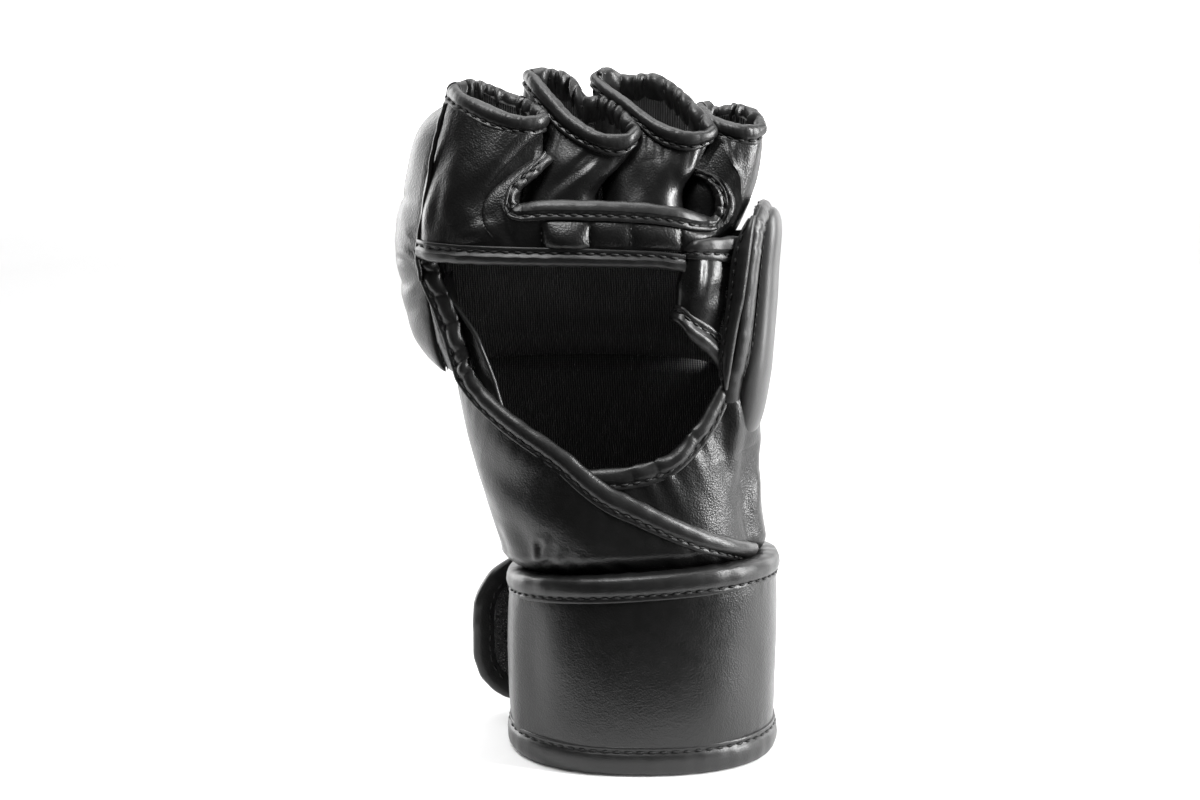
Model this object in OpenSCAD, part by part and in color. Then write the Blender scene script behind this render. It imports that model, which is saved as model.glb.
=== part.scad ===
// Open-palm grappling glove for the right hand, standing on its wrist cuff.
// Millimetres. +Z up, fingers up, palm towards -Y, thumb towards +X.
// The origin is the middle of the wrist opening, at the cuff's bottom rim.

/* [Wrist cuff] */
// Outside width of the cuff
cuff_w = 96; // [92:1:102]
// Outside depth of the cuff, palm to back
cuff_d = 78; // [72:1:84]
// Height of the strap that wraps the wrist, at its middle
strap_h = 69; // [66:0.5:71]
// Thickness of the padded strap
strap_t = 6; // [5:0.5:7]
// Thickness of the strap's free tab
tab_t = 3; // [2.4:0.2:3.6]
// How far the tab reaches past the cuff's side
tab_reach = 15; // [10:1:20]

/* [Leather and binding] */
// Thickness of the leather panels
leather_t = 1.8; // [1.4:0.1:2.2]
// Width of the edge binding
binding_w = 8; // [6:0.5:9]
// How much thicker the binding is than the leather, on each side
binding_extra = 0.7; // [0.4:0.1:1]
// Thickness of the textile lining
lining_t = 1; // [0.8:0.1:1.4]

/* [Palm bar] */
// Height of the bar's lower edge above the wrist rim
bar_z = 181.5; // [178:0.5:186]
// Height of the bar with both of its bindings
bar_h = 19; // [17:0.5:21]
// Thickness of the bar
bar_t = 4; // [3:0.5:5]
// Number of padded cells in the bar
bar_cells_n = 5; // [3:1:7]

/* [Fingers] */
// Height where the four finger stalls hinge on the hand
knuckle_z = 201; // [198:1:204]
// Width of the edge binding round each finger opening
rim_w = 7; // [5:0.5:8]

/* [Hidden] */

black = [0.06, 0.06, 0.07];
binding_black = [0.10, 0.10, 0.11];
lining_black = [0.03, 0.03, 0.035];
foam_grey = [0.35, 0.35, 0.36];
pile_black = [0.04, 0.04, 0.04];

cuff_a = cuff_w / 2;
cuff_b = cuff_d / 2;
section_power = 2 / 2.25;   // exponent of the rounded-oval sections
gap = 0.3;                  // clearance between bodies that move on each other
skin_t = 1.5;               // leather skin of the padded strap

// ---------- curves and solids made from them ----------

function power_of(c) = sign(c) * pow(abs(c), section_power);

// A point of a rounded oval, angles anticlockwise from +X seen from above.
function oval(a, b, angle) = [a * power_of(cos(angle)), b * power_of(sin(angle))];

function catmull(a, b, c, d, t) =
    0.5 * (2 * b + (c - a) * t + (2 * a - 5 * b + 4 * c - d) * t * t
        + (3 * b - a - 3 * c + d) * t * t * t);

// The value at t (0 to 1) along a smooth curve through the listed values.
function along(list, t) =
    let (n = len(list) - 1, s = min(n - 1, floor(t * n)), f = t * n - s)
    catmull(list[max(0, s - 1)], list[s], list[s + 1], list[min(n, s + 2)], f);

function mix(a, b, t) = a + (b - a) * t;

function unit(v) = v / norm(v);

// Outward normal of a grid at row j, column i. Rows go up and columns anticlockwise.
function grid_normal(grid, j, i, closed) =
    let (nv = len(grid), nu = len(grid[0]),
        i0 = closed ? (i + nu - 1) % nu : max(0, i - 1),
        i1 = closed ? (i + 1) % nu : min(nu - 1, i + 1),
        du = grid[j][i1] - grid[j][i0],
        dv = grid[min(nv - 1, j + 1)][i] - grid[max(0, j - 1)][i])
    unit(cross(du, dv));

function offset_grid(grid, d, closed = false) =
    [for (j = [0 : len(grid) - 1])
        [for (i = [0 : len(grid[0]) - 1]) grid[j][i] + d * grid_normal(grid, j, i, closed)]];

// Solid between an outer and an inner grid of points.
module slab(outer, inner, closed = false) {
    nv = len(outer);
    nu = len(outer[0]);
    last = closed ? nu - 1 : nu - 2;
    function id(k, j, i) = (k * nv + j) * nu + i % nu;
    function quad(a, b, c, d) = [[a, b, c], [a, c, d]];
    points = [for (g = [outer, inner]) for (row = g) for (p = row) p];
    skin = [for (j = [0 : nv - 2]) for (i = [0 : last]) for (f = concat(
        quad(id(0, j, i), id(0, j + 1, i), id(0, j + 1, i + 1), id(0, j, i + 1)),
        quad(id(1, j, i), id(1, j, i + 1), id(1, j + 1, i + 1), id(1, j + 1, i)))) f];
    rims = [for (i = [0 : last]) for (f = concat(
        quad(id(0, 0, i), id(0, 0, i + 1), id(1, 0, i + 1), id(1, 0, i)),
        quad(id(0, nv - 1, i), id(1, nv - 1, i), id(1, nv - 1, i + 1), id(0, nv - 1, i + 1)))) f];
    ends = closed ? [] : [for (j = [0 : nv - 2]) for (f = concat(
        quad(id(0, j, 0), id(1, j, 0), id(1, j + 1, 0), id(0, j + 1, 0)),
        quad(id(0, j, nu - 1), id(0, j + 1, nu - 1), id(1, j + 1, nu - 1), id(1, j, nu - 1)))) f];
    polyhedron(points = points, faces = concat(skin, rims, ends), convexity = 8);
}

// A slab of even thickness under a grid: from depth d0 to depth d1 below its outer face.
module sheet(grid, d0, d1, closed = false) {
    slab(offset_grid(grid, -d0, closed), offset_grid(grid, -d1, closed), closed);
}

// ---------- wrist cuff ----------

// The strap's top edge leans: lower at the back and on the little-finger side.
lean_back = 5.7;
lean_side = 4;
module below_top(down) {
    translate([0, 0, strap_h - down]) rotate([-lean_back, -lean_side, 0])
        translate([-100, -100, -120]) cube([200, 200, 120]);
}

// Plan of a wall between depths d0 and d1 inside the cuff's outer face, over an arc.
module cuff_arc(d0, d1, from, to) {
    n = ceil((to - from) / 5);
    angles = [for (k = [0 : n]) mix(from, to, k / n)];
    outer = [for (q = angles) oval(cuff_a - d0, cuff_b - d0, q)];
    inner = [for (k = [n : -1 : 0]) oval(cuff_a - d1, cuff_b - d1, angles[k])];
    polygon(concat(outer, inner));
}

module cuff_wall(d0, d1, from, to, z0, z1) {
    translate([0, 0, z0]) linear_extrude(z1 - z0) cuff_arc(d0, d1, from, to);
}

module cuff_tube(d0, d1, z0, z1) {
    outline = [for (k = [0 : 71]) oval(cuff_a - d0, cuff_b - d0, k * 5)];
    bore = [for (k = [0 : 71]) oval(cuff_a - d1, cuff_b - d1, k * 5)];
    translate([0, 0, z0]) linear_extrude(z1 - z0) difference() {
        polygon(outline);
        polygon(bore);
    }
}

anchor_from = 130;          // the strap starts on the little-finger side of the back
anchor_to = 380;            // and is fixed round the palm side as far as the thumb side
wrap_from = 20.6;
wrap_to = 112;
sleeve_top = 57.5;

module wrist_sleeve() {
    color(black) cuff_tube(strap_t + gap, strap_t + gap + leather_t, 3, sleeve_top);
}

module sleeve_lining() {
    color(lining_black)
    cuff_tube(strap_t + gap + leather_t, strap_t + gap + leather_t + lining_t, 3, sleeve_top);
}

// The strap's layers lie between its two bindings.
module strap_core(d0, d1, from, to) {
    intersection() {
        cuff_wall(d0, d1, from, to, binding_w, strap_h + 20);
        below_top(binding_w);
    }
}

module strap_skin(from, to) color(black) strap_core(0, skin_t, from, to);

module strap_foam(from, to) color(foam_grey) strap_core(skin_t, strap_t - lining_t, from, to);

module strap_lining(from, to) color(lining_black) strap_core(strap_t - lining_t, strap_t, from, to);

module strap_base_binding(from, to) {
    color(binding_black) cuff_wall(-0.5, strap_t, from, to, 0, binding_w);
}

module strap_top_binding(from, to) {
    color(binding_black) difference() {
        intersection() {
            cuff_wall(-0.5, strap_t, from, to, binding_w, strap_h + 20);
            below_top(0);
        }
        below_top(binding_w);
    }
}

module strap_anchor_shell() strap_skin(anchor_from, anchor_to);
module strap_anchor_foam() strap_foam(anchor_from, anchor_to);
module strap_anchor_lining() strap_lining(anchor_from, anchor_to);
module strap_anchor_top_binding() strap_top_binding(anchor_from, anchor_to);
module strap_anchor_base_binding() strap_base_binding(anchor_from, anchor_to);
module strap_wrap_shell() strap_skin(wrap_from, wrap_to);
module strap_wrap_foam() strap_foam(wrap_from, wrap_to);
module strap_wrap_lining() strap_lining(wrap_from, wrap_to);
module strap_wrap_top_binding() strap_top_binding(wrap_from, wrap_to);
module strap_wrap_base_binding() strap_base_binding(wrap_from, wrap_to);

module loop_panel() {
    color(pile_black) cuff_wall(-0.8, 0, anchor_from + 5, anchor_from + 40, binding_w + 2, 52);
}

// Plan of the free tab: a smooth band that leaves the wrap and runs on past the cuff's side.
tab_end_x = -cuff_a - tab_reach;
tab_root = oval(cuff_a, cuff_b, wrap_to + 0.6);
tab_line = [tab_root, [-26, 36.2], [-36, 34.8], [-46, 32.2], [-56, 29], [tab_end_x, 26]];
tab_z0 = 4;
tab_z1 = strap_h - 8;
tab_corner = 22;            // radius of the tab's rounded corners

module tab_plan(d0, d1) {
    n = 20;
    line = [for (k = [0 : n]) along(tab_line, k / n)];
    side = [for (k = [0 : n])
        let (t = unit(line[min(n, k + 1)] - line[max(0, k - 1)])) [t[1], -t[0]]];
    polygon(concat([for (k = [0 : n]) line[k] - d0 * side[k] * -1],
        [for (k = [n : -1 : 0]) line[k] - d1 * side[k] * -1]));
}

// Face of the tab seen from behind: square at the root, rounded at the free end.
module tab_face(inset) {
    r = tab_corner - inset;
    hull() {
        for (z = [tab_z0 + tab_corner, tab_z1 - tab_corner])
            translate([tab_end_x + tab_corner, z]) circle(r, $fn = 48);
        translate([tab_root[0] - 4, tab_z0 + inset]) square([12, tab_z1 - tab_z0 - 2 * inset]);
    }
}

module tab_cut(inset) {
    translate([0, 60, 0]) rotate([90, 0, 0]) linear_extrude(80) tab_face(inset);
}

module tab_layer(d0, d1) {
    linear_extrude(strap_h) tab_plan(d0, d1);
}

module strap_tab_shell() {
    color(black) intersection() {
        tab_layer(0, tab_t - 1);
        tab_cut(binding_w - 1);
    }
}

module strap_tab_binding() {
    color(binding_black) intersection() {
        tab_layer(-0.5, tab_t);
        difference() {
            tab_cut(0);
            tab_cut(binding_w - 1);
        }
    }
}

module hook_pad() {
    color(pile_black) intersection() {
        tab_layer(tab_t - 1, tab_t);
        tab_cut(binding_w - 1);
    }
}

// ---------- hand: heel flaps and back ----------

// Outer face of the hand at several heights: [height, little-finger side, thumb side, palm, back].
hand = [[66, -50, 45, -36.5, 35], [74, -51, 45, -36.5, 35], [86, -55, 43, -37.5, 36.5],
    [105, -60, 41.5, -36.5, 37.5], [120, -64, 42.5, -35.5, 38], [135, -67, 43, -34.5, 37],
    [150, -68.5, 42, -33.5, 35], [165, -70.5, 40, -33, 33], [184, -73.5, 36, -32.5, 30]];
function hand_at(z, k) = lookup(z, [for (row = hand) [row[0], row[k]]]);

// Height of the strap's top edge at an angle round the wrist.
function strap_top(angle) = strap_h + cuff_a * tan(lean_side) * cos(angle) - cuff_b * tan(lean_back) * sin(angle);

// 0 where the leather is tucked into the strap, 1 where it has come out over it.
function out_of_strap(angle, z) =
    let (t = min(1, max(0, (z - strap_top(angle) - 0.5) / 6))) t * t * (3 - 2 * t);

// A point of the hand's outer face, moved outwards by d.
function hand_point(angle, z, d = 0) =
    let (left = hand_at(z, 1), right = hand_at(z, 2),
        s = out_of_strap(angle, z),
        a = mix(cuff_a - strap_t - 1.2, (right - left) / 2, s) + d,
        b = mix(cuff_b - strap_t - 1.2, sin(angle) < 0 ? -hand_at(z, 3) : hand_at(z, 4), s) + d,
        p = oval(a, b, angle))
    [s * (left + right) / 2 + p[0], p[1], z];

// Each flap is a patch between its bound edge and its sewn edge, as [angle, height].
outer_edge = [[187, 183], [189, 172], [194, 157], [208, 141.5], [229, 129.5], [252, 117], [271, 101.5],
    [299, 88], [338, 77.5]];
outer_seam = [[186, 183], [184, 150], [179.4, 118], [179.8, 82], [215, 59], [255, 59], [300, 59], [338, 59]];
inner_edge = [[317.5, 149.5], [312, 136], [303.5, 124], [289.5, 114.3], [274, 110], [258, 108.5], [236, 106.5]];
inner_seam = [[352.5, 117], [352.5, 100], [352.5, 80], [335, 59], [300, 59], [265, 59], [232, 59]];
mm_per_degree = 0.85;       // arc length of the hand's face per degree

// The bound edge moved into the patch by w.
function inset_edge(edge, seam, t, w) =
    let (e = along(edge, t),
        a = along(edge, max(0, t - 0.02)), b = along(edge, min(1, t + 0.02)),
        run = [(b[0] - a[0]) * mm_per_degree, b[1] - a[1]],
        side = unit([run[1], -run[0]]),
        to_seam = along(seam, t) - e,
        s = sign(side[0] * to_seam[0] * mm_per_degree + side[1] * to_seam[1]))
    e + s * w * [side[0] / mm_per_degree, side[1]];

function flap_grid(edge, seam, w0, w1, depth, nu, nv) =
    [for (j = [0 : nv]) [for (i = [0 : nu])
        let (t = i / nu, e = inset_edge(edge, seam, t, w0),
            g = w1 == undef ? along(seam, t) : inset_edge(edge, seam, t, w1),
            q = mix(e, g, j / nv))
        hand_point(q[0], q[1], -depth)]];

module flap(edge, seam, depth, flip = false) {
    grid = flap_grid(edge, seam, binding_w, undef, depth, 26, 9);
    color(black) sheet_facing(grid, 0, leather_t, flip);
}

module flap_binding(edge, seam, depth, flip = false) {
    grid = flap_grid(edge, seam, 0, binding_w - 0.4, depth, 26, 1);
    color(binding_black) sheet_facing(grid, -binding_extra, leather_t + binding_extra, flip);
}

// A sheet whose rows may run down instead of up.
module sheet_facing(grid, d0, d1, flip) {
    rows = flip ? [for (j = [len(grid) - 1 : -1 : 0]) grid[j]] : grid;
    sheet(rows, d0, d1);
}

inner_flap_depth = 4.2;     // the thumb-side flap lies under the other one
module palm_flap_outer() flap(outer_edge, outer_seam, 0, true);
module palm_flap_outer_binding() flap_binding(outer_edge, outer_seam, 0, true);
module palm_flap_inner() flap(inner_edge, inner_seam, inner_flap_depth);
module palm_flap_inner_binding() flap_binding(inner_edge, inner_seam, inner_flap_depth);

// Back of the hand: its thumb-side edge draws back where the thumb begins.
back_edge = [[59, -5], [108, -5], [122, 38], [150, 40]];
back_top = 134.2;
back_layers = [0, 1.8, 7, 8];

// The padding thins out towards the sides and where it enters the strap.
function back_thickness(angle, z) =
    max(0.3, pow(max(0, sin(angle)), 1.5)) * min(1, 0.3 + 0.7 * max(0, z - strap_top(angle)) / 12);
function back_grid(depth) =
    [for (j = [0 : 12]) [for (i = [0 : 24])
        let (z = mix(59, back_top, j / 12), a = mix(lookup(z, back_edge), 176.4, i / 24))
        hand_point(a, z, -depth * back_thickness(a, z))]];

module back_layer(k) {
    slab(back_grid(back_layers[k]), back_grid(back_layers[k + 1]));
}
module back_hand_shell() color(black) back_layer(0);
module back_hand_foam() color(foam_grey) back_layer(1);
module back_hand_lining() color(lining_black) back_layer(2);

// ---------- knuckle pad ----------

// Plans of the pad, each from the little-finger seam round the back to the thumb side.
pad_z = [138.5, 150, 175, 200, 222, 232];
pad_outer = [
    [[28, 10], [25, 22], [8, 34], [-22, 38], [-55, 33], [-70, 20], [-74, 6], [-71, -7]],
    [[29, 8], [26, 25], [8, 39], [-24, 43], [-60, 37], [-78, 24], [-82, 6], [-74, -9]],
    [[28, 7], [26, 25], [8, 41], [-25, 46], [-62, 40], [-83, 26], [-87, 6], [-77, -11]],
    [[32, 8], [30, 24], [8, 38], [-24, 43], [-60, 37], [-81, 22], [-85, 3], [-76.5, -13]],
    [[38, 5.5], [35, 20], [14, 30], [-20, 34], [-55, 28], [-75, 15], [-79, -1], [-71.5, -13]],
    [[37, 6], [33.5, 14.5], [16, 21], [-16, 24], [-48, 20], [-67, 9], [-71, -3], [-68, -11]]];
pad_inner = [
    [[26, 9], [20, 16], [6, 24], [-20, 27], [-45, 24], [-62, 14], [-69, 4], [-69.5, -6]],
    [[27, 7], [21, 14], [6, 21], [-20, 23], [-46, 20], [-65, 11], [-73, 2], [-72.5, -8]],
    [[26, 6], [20, 12], [6, 18], [-20, 20], [-48, 17], [-67, 10], [-76, 0], [-75.5, -10]],
    [[30.5, 7], [24, 11.5], [8, 16], [-18, 18], [-46, 15.5], [-65, 8], [-75, -2], [-75, -12]],
    [[36.5, 5], [31, 10], [14, 14], [-14, 15], [-42, 12], [-61, 5.5], [-70, -4], [-70, -12]],
    [[35.5, 5.5], [31, 9.5], [15, 12.5], [-15, 14], [-43, 11], [-61.5, 5], [-68.3, -4], [-67, -10.5]]];

function pad_row(plans, t) =
    let (plan = along(plans, t), z = along(pad_z, t))
    [for (i = [0 : 24]) let (p = along(plan, i / 24)) [p[0], p[1], z]];

// The pad's face at a share of the way from its outer face to its inner one.
function pad_grid(share) =
    [for (j = [0 : 10]) mix(pad_row(pad_outer, j / 10), pad_row(pad_inner, j / 10), share)];

module pad_layer(share0, share1) slab(pad_grid(share0), pad_grid(share1));

// The same face carried down and in past the pad's lower edge, over the lining below it.
function with_skirt(grid, h) =
    concat([[for (p = grid[0]) [mix(p[0], -22, 0.08), mix(p[1], 4, 0.08), p[2] - h]]], grid);

module knuckle_pad_shell() color(black) pad_layer(0, 0.1);
module knuckle_pad_foam() color(foam_grey) pad_layer(0.1, 0.93);
module knuckle_pad_lining() {
    color(lining_black) slab(with_skirt(pad_grid(0.93), 5), with_skirt(pad_grid(1), 5));
}

// ---------- palm bar ----------

// Plan of the bar, from the pad's seam across the palm to the index finger.
bar_line = [[-78, -15.4], [-73.5, -22.5], [-61, -28.5], [-40, -32.5], [-15, -33.5], [6, -32], [17, -28.5],
    [25, -22], [29.5, -14]];

// Heights along the bar: each list gives [share of the bar's length, height].
bar_binding_w = 5.5;
bar_low = [[0, bar_z + bar_binding_w], [0.72, bar_z + bar_binding_w], [0.8, bar_z + 8.3], [1, bar_z + 8.3]];
bar_high = [[0, bar_z + bar_h], [0.325, bar_z + bar_h], [0.34, bar_z + bar_h - 5], [0.5, bar_z + bar_h - 6.5],
    [0.7, bar_z + bar_h - 9], [0.85, bar_z + bar_h - 9.6], [0.93, bar_z + bar_h - 9], [1, bar_z + bar_h - 7.5]];
slot_from = 0.345;          // the finger slot's binding runs between these shares
slot_to = 0.96;
slot_low = [for (p = bar_high) p + [0, 0.4]];
slot_edge = [[0.345, bar_z + bar_h + 5], [0.36, bar_z + bar_h + 1], [0.375, bar_z + bar_h], [0.5, bar_z + bar_h - 1],
    [0.7, bar_z + bar_h - 3.5], [0.85, bar_z + bar_h - 5], [0.93, bar_z + bar_h - 4], [0.96, bar_z + bar_h]];
bar_lower_end = 0.69;       // the lower binding stops clear of the thumb loop
panel_lean = 0.55;          // how far the panel leans back towards the fingers, per mm

// A point of the bar's face at share u and height z, depth d below the face.
function bar_point(u, z, d) =
    let (p = along(bar_line, u),
        t = unit(along(bar_line, min(1, u + 0.02)) - along(bar_line, max(0, u - 0.02))))
    [p[0] - d * t[1], p[1] + d * t[0] + panel_lean * max(0, z - bar_z - 15.5), z];

function bar_grid(u0, u1, low, high, d, nu, nv) =
    [for (j = [0 : nv]) [for (i = [0 : nu])
        let (u = mix(u0, u1, i / nu))
        bar_point(u, mix(lookup(u, low), lookup(u, high), j / nv), d)]];

module bar_wall(u0, u1, low, high, d0, d1, nu = 26, nv = 1)
    slab(bar_grid(u0, u1, low, high, d0, nu, nv), bar_grid(u0, u1, low, high, d1, nu, nv));

bar_cells_from = 0.4;
bar_cells_to = 0.72;
module palm_bar_shell() color(black) bar_wall(0, 1, bar_low, bar_high, 0, skin_t, 40, 3);
module palm_bar_cells() color(foam_grey) {
    pitch = (bar_cells_to - bar_cells_from) / bar_cells_n;
    for (k = [0 : bar_cells_n - 1])
        bar_wall(bar_cells_from + (k + 0.06) * pitch, bar_cells_from + (k + 0.94) * pitch,
            bar_low, bar_high, skin_t, bar_t, 4);
}
module palm_bar_lower_binding()
    color(binding_black) bar_wall(0, bar_lower_end, [[0, bar_z]], [[0, bar_z + bar_binding_w]],
        -binding_extra, bar_t);
module palm_bar_upper_binding()
    color(binding_black) bar_wall(slot_from, slot_to, slot_low, slot_edge, -binding_extra, bar_t, 40, 2);

// Leather gussets between neighbouring fingers, sewn behind the bar.
gusset_x = [-45, -16.5, 9.5];
module finger_gussets() color(black) {
    for (x = gusset_x) translate([x, 0, 184]) rotate([0, 0, -18]) translate([-0.8, -22, 0])
        cube([1.6, 28, knuckle_z - 1.5 - 184]);
}

// ---------- finger stalls ----------

// Each finger: base centre, rim centre, base and rim half sizes, turn, rim slopes along x and y.
pinky = [[-58.8, -13.5, 0], [-50.2, -11, 232], [12.6, 11.5], [17.6, 8.8], -12, -30, [-0.28, 0.22]];
ring = [[-31, -8.5, 0], [-21.5, -8, 235], [13, 9.4], [20, 8.8], -21, -34, [-0.33, 0.35]];
middle = [[-3, -6, 0], [3.8, -4.3, 233.5], [12.2, 9.2], [20.6, 8.8], -21, -36, [-0.3, 0.4]];
index = [[21, -4.8, 0], [28, -1, 229], [10, 9.4], [16.6, 8.6], -18, -38, [-0.2, 0.25]];
finger_nu = 32;
finger_nv = 6;

// Outer face of a stall at height share v, pushed out by d.
function finger_ring(f, v, d) =
    let (c = mix([f[0][0], f[0][1], knuckle_z], f[1], v),
        h = mix(f[2], f[3], v) + [d, d],
        turn = mix(f[4], f[5], v))
    [for (i = [0 : finger_nu - 1])
        let (q = i * 360 / finger_nu,
            p = [h[0] * cos(q), h[1] * sin(q)],
            x = p[0] * cos(turn) - p[1] * sin(turn),
            y = p[0] * sin(turn) + p[1] * cos(turn))
        [c[0] + x, c[1] + y, c[2] + v * (f[6][0] * x + f[6][1] * y)]];

function finger_grid(f, v0, v1, d, n) = [for (j = [0 : n]) finger_ring(f, mix(v0, v1, j / n), d)];

rim_share = rim_w / 34;     // the rim binding's share of a stall's height
module finger_tube(f, v0, v1, d0, d1, n)
    slab(finger_grid(f, v0, v1, -d0, n), finger_grid(f, v0, v1, -d1, n), true);

module stall(f) color(black) finger_tube(f, 0.02, 1 - rim_share, 0, 1.1, finger_nv);
module stall_lining(f) color(lining_black) finger_tube(f, 0.02, 1 - rim_share, 1.1, 1.9, finger_nv);
module stall_rim(f) color(binding_black) finger_tube(f, 1 - rim_share, 1, -0.4, 2.3, 2);

module pinky_stall() stall(pinky);
module pinky_lining() stall_lining(pinky);
module pinky_rim() stall_rim(pinky);
module ring_stall() stall(ring);
module ring_lining() stall_lining(ring);
module ring_rim() stall_rim(ring);
module middle_stall() stall(middle);
module middle_lining() stall_lining(middle);
module middle_rim() stall_rim(middle);
module index_stall() stall(index);
module index_lining() stall_lining(index);
module index_rim() stall_rim(index);

// ---------- thumb ----------

// Plans of the thumb panel at several heights, from its palm edge to its back edge.
thumb_z = [116, 135, 150, 175, 192, 200];
thumb_plans = [
    [[32.5, -25], [38.5, -15], [42, -2], [40.5, 8]],
    [[32, -26], [38.5, -16], [42.5, -2], [41.5, 10]],
    [[32, -27], [38.5, -16], [42.5, -2], [42, 11]],
    [[33, -28], [39, -16], [42, -3], [41.5, 10]],
    [[34.5, -26], [39.5, -16], [42, -5], [41, 6]],
    [[37, -20], [39.5, -14], [41, -7], [40.5, -1]]];

function thumb_point(u, t) =
    let (p = along(along(thumb_plans, t), u)) [p[0], p[1], along(thumb_z, t)];

function thumb_grid(u0, u1, t0, t1, nu, nv) =
    [for (j = [0 : nv]) [for (i = [0 : nu])
        thumb_point(mix(u0, u1, i / nu), mix(t0, t1, j / nv))]];

edge_u = 0.17;              // the binding's share of the panel on each side
edge_t = 0.93;
module thumb_panel() color(black) sheet(thumb_grid(edge_u, 1 - edge_u, 0, edge_t, 8, 10), 0, leather_t);

module thumb_panel_binding() color(binding_black) {
    band = [-binding_extra, leather_t + binding_extra];
    sheet(thumb_grid(0, edge_u - 0.005, 0, edge_t, 2, 10), band[0], band[1]);
    sheet(thumb_grid(1 - edge_u + 0.005, 1, 0, edge_t, 2, 10), band[0], band[1]);
    sheet(thumb_grid(0, 1, edge_t + 0.005, 1, 8, 2), band[0], band[1]);
}

// The padded bar on the outside of the thumb: an outline that narrows to both ends.
pad_depth = 4.2;            // height of the thumb pad above its panel
pad_rim = 0.75;             // clearance between the pad and the panel
function thumb_pad_grid(height) =
    [for (j = [0 : 12]) [for (i = [0 : 8])
        let (t = mix(0.0, 0.84, j / 12), w = 0.28 * sqrt(max(0.02, 1 - pow(abs(2 * j / 12 - 1), 3))),
            u = mix(0.5 - w, 0.5 + w, i / 8),
            across = sqrt(max(0, 1 - pow(abs(2 * i / 8 - 1), 3))),
            lift = pad_rim + height * (0.25 + 0.75 * across * w / 0.28),
            n = unit(cross(thumb_point(min(1, u + 0.05), t) - thumb_point(u - 0.05, t),
                thumb_point(u, t + 0.05) - thumb_point(u, max(0, t - 0.05)))))
        thumb_point(u, t) + n * lift]];
module thumb_pad_shell() color(black) slab(thumb_pad_grid(pad_depth), thumb_pad_grid(pad_depth - 1.2));
module thumb_pad_foam() color(foam_grey) slab(thumb_pad_grid(pad_depth - 1.2), thumb_pad_grid(0));

// The loop closes the thumb sleeve on the palm side, against the panel's inner face.
loop_line = [[34, -29], [26, -33.5], [17, -31], [12.8, -24], [14.5, -15], [21, -9], [30, -7.5], [39, -7.5]];
loop_top = [[12, 184.6], [20, 185.2], [32, 187]];    // height of the upper edge at each x, clear of the bar
loop_bottom = [[12, 160], [33, 149], [40, 149]];    // height of the lower edge at each x
loop_lean = 0.1;            // how far the loop leans outwards with height
function loop_row(v0, d) =
    [for (i = [24 : -1 : 0])
        let (p = along(loop_line, i / 24),
            a = along(loop_line, max(0, i - 1) / 24), b = along(loop_line, min(24, i + 1) / 24),
            t = unit(b - a), z0 = lookup(p[0], loop_bottom), z = mix(z0, lookup(p[0], loop_top), v0),
            q = p - d * [-t[1], t[0]])
        [q[0] + loop_lean * (z - 187) * 0.5, q[1], z]];
function loop_grid(v0, v1, d, n) = [for (j = [0 : n]) loop_row(mix(v0, v1, j / n), d)];
loop_binding = 0.2;         // each binding's share of the loop's height
module loop_band(v0, v1, d0, d1, n) slab(loop_grid(v0, v1, d0, n), loop_grid(v0, v1, d1, n));
module thumb_loop() color(black) loop_band(loop_binding, 1 - loop_binding, 0, leather_t, 4);
module thumb_loop_upper_binding()
    color(binding_black) loop_band(1 - loop_binding, 1, -binding_extra, leather_t + binding_extra, 1);
module thumb_loop_lower_binding()
    color(binding_black) loop_band(0, loop_binding, -binding_extra, leather_t + binding_extra, 1);

// ---------- every node ----------

wrist_sleeve();
sleeve_lining();
strap_anchor_shell();
strap_anchor_foam();
strap_anchor_lining();
strap_anchor_top_binding();
strap_anchor_base_binding();
loop_panel();
palm_flap_outer();
palm_flap_outer_binding();
palm_flap_inner();
palm_flap_inner_binding();
back_hand_shell();
back_hand_foam();
back_hand_lining();
knuckle_pad_shell();
knuckle_pad_foam();
knuckle_pad_lining();
palm_bar_shell();
palm_bar_cells();
palm_bar_upper_binding();
palm_bar_lower_binding();
finger_gussets();
strap_wrap_shell();
strap_wrap_foam();
strap_wrap_lining();
strap_wrap_top_binding();
strap_wrap_base_binding();
strap_tab_shell();
strap_tab_binding();
hook_pad();
thumb_panel();
thumb_panel_binding();
thumb_pad_shell();
thumb_pad_foam();
thumb_loop();
thumb_loop_upper_binding();
thumb_loop_lower_binding();
pinky_stall();
pinky_lining();
pinky_rim();
ring_stall();
ring_lining();
ring_rim();
middle_stall();
middle_lining();
middle_rim();
index_stall();
index_lining();
index_rim();
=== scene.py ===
import bpy, math
import numpy as np
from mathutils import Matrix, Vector


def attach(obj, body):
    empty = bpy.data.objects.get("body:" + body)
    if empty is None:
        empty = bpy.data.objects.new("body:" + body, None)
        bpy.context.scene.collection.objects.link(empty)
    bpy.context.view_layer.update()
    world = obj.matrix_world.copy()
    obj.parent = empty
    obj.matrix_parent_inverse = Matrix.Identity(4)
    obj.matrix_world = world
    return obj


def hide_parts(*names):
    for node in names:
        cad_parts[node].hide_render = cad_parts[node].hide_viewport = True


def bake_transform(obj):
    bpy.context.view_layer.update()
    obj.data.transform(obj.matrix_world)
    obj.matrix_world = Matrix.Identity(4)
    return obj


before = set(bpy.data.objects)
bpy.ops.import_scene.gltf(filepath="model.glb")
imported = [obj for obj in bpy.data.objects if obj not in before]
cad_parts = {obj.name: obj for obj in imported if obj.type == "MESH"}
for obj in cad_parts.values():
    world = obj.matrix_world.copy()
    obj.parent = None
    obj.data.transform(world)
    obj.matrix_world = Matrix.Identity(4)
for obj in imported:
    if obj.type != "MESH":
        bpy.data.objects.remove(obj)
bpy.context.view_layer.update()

# ------------------------------------------------------------------ numbers
# Everything is in millimetres until a mesh is made.
CA, CB, ST = 48.0, 39.0, 6.0          # cuff half width, half depth, strap thickness
STRAP_H = 69.0


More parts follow.
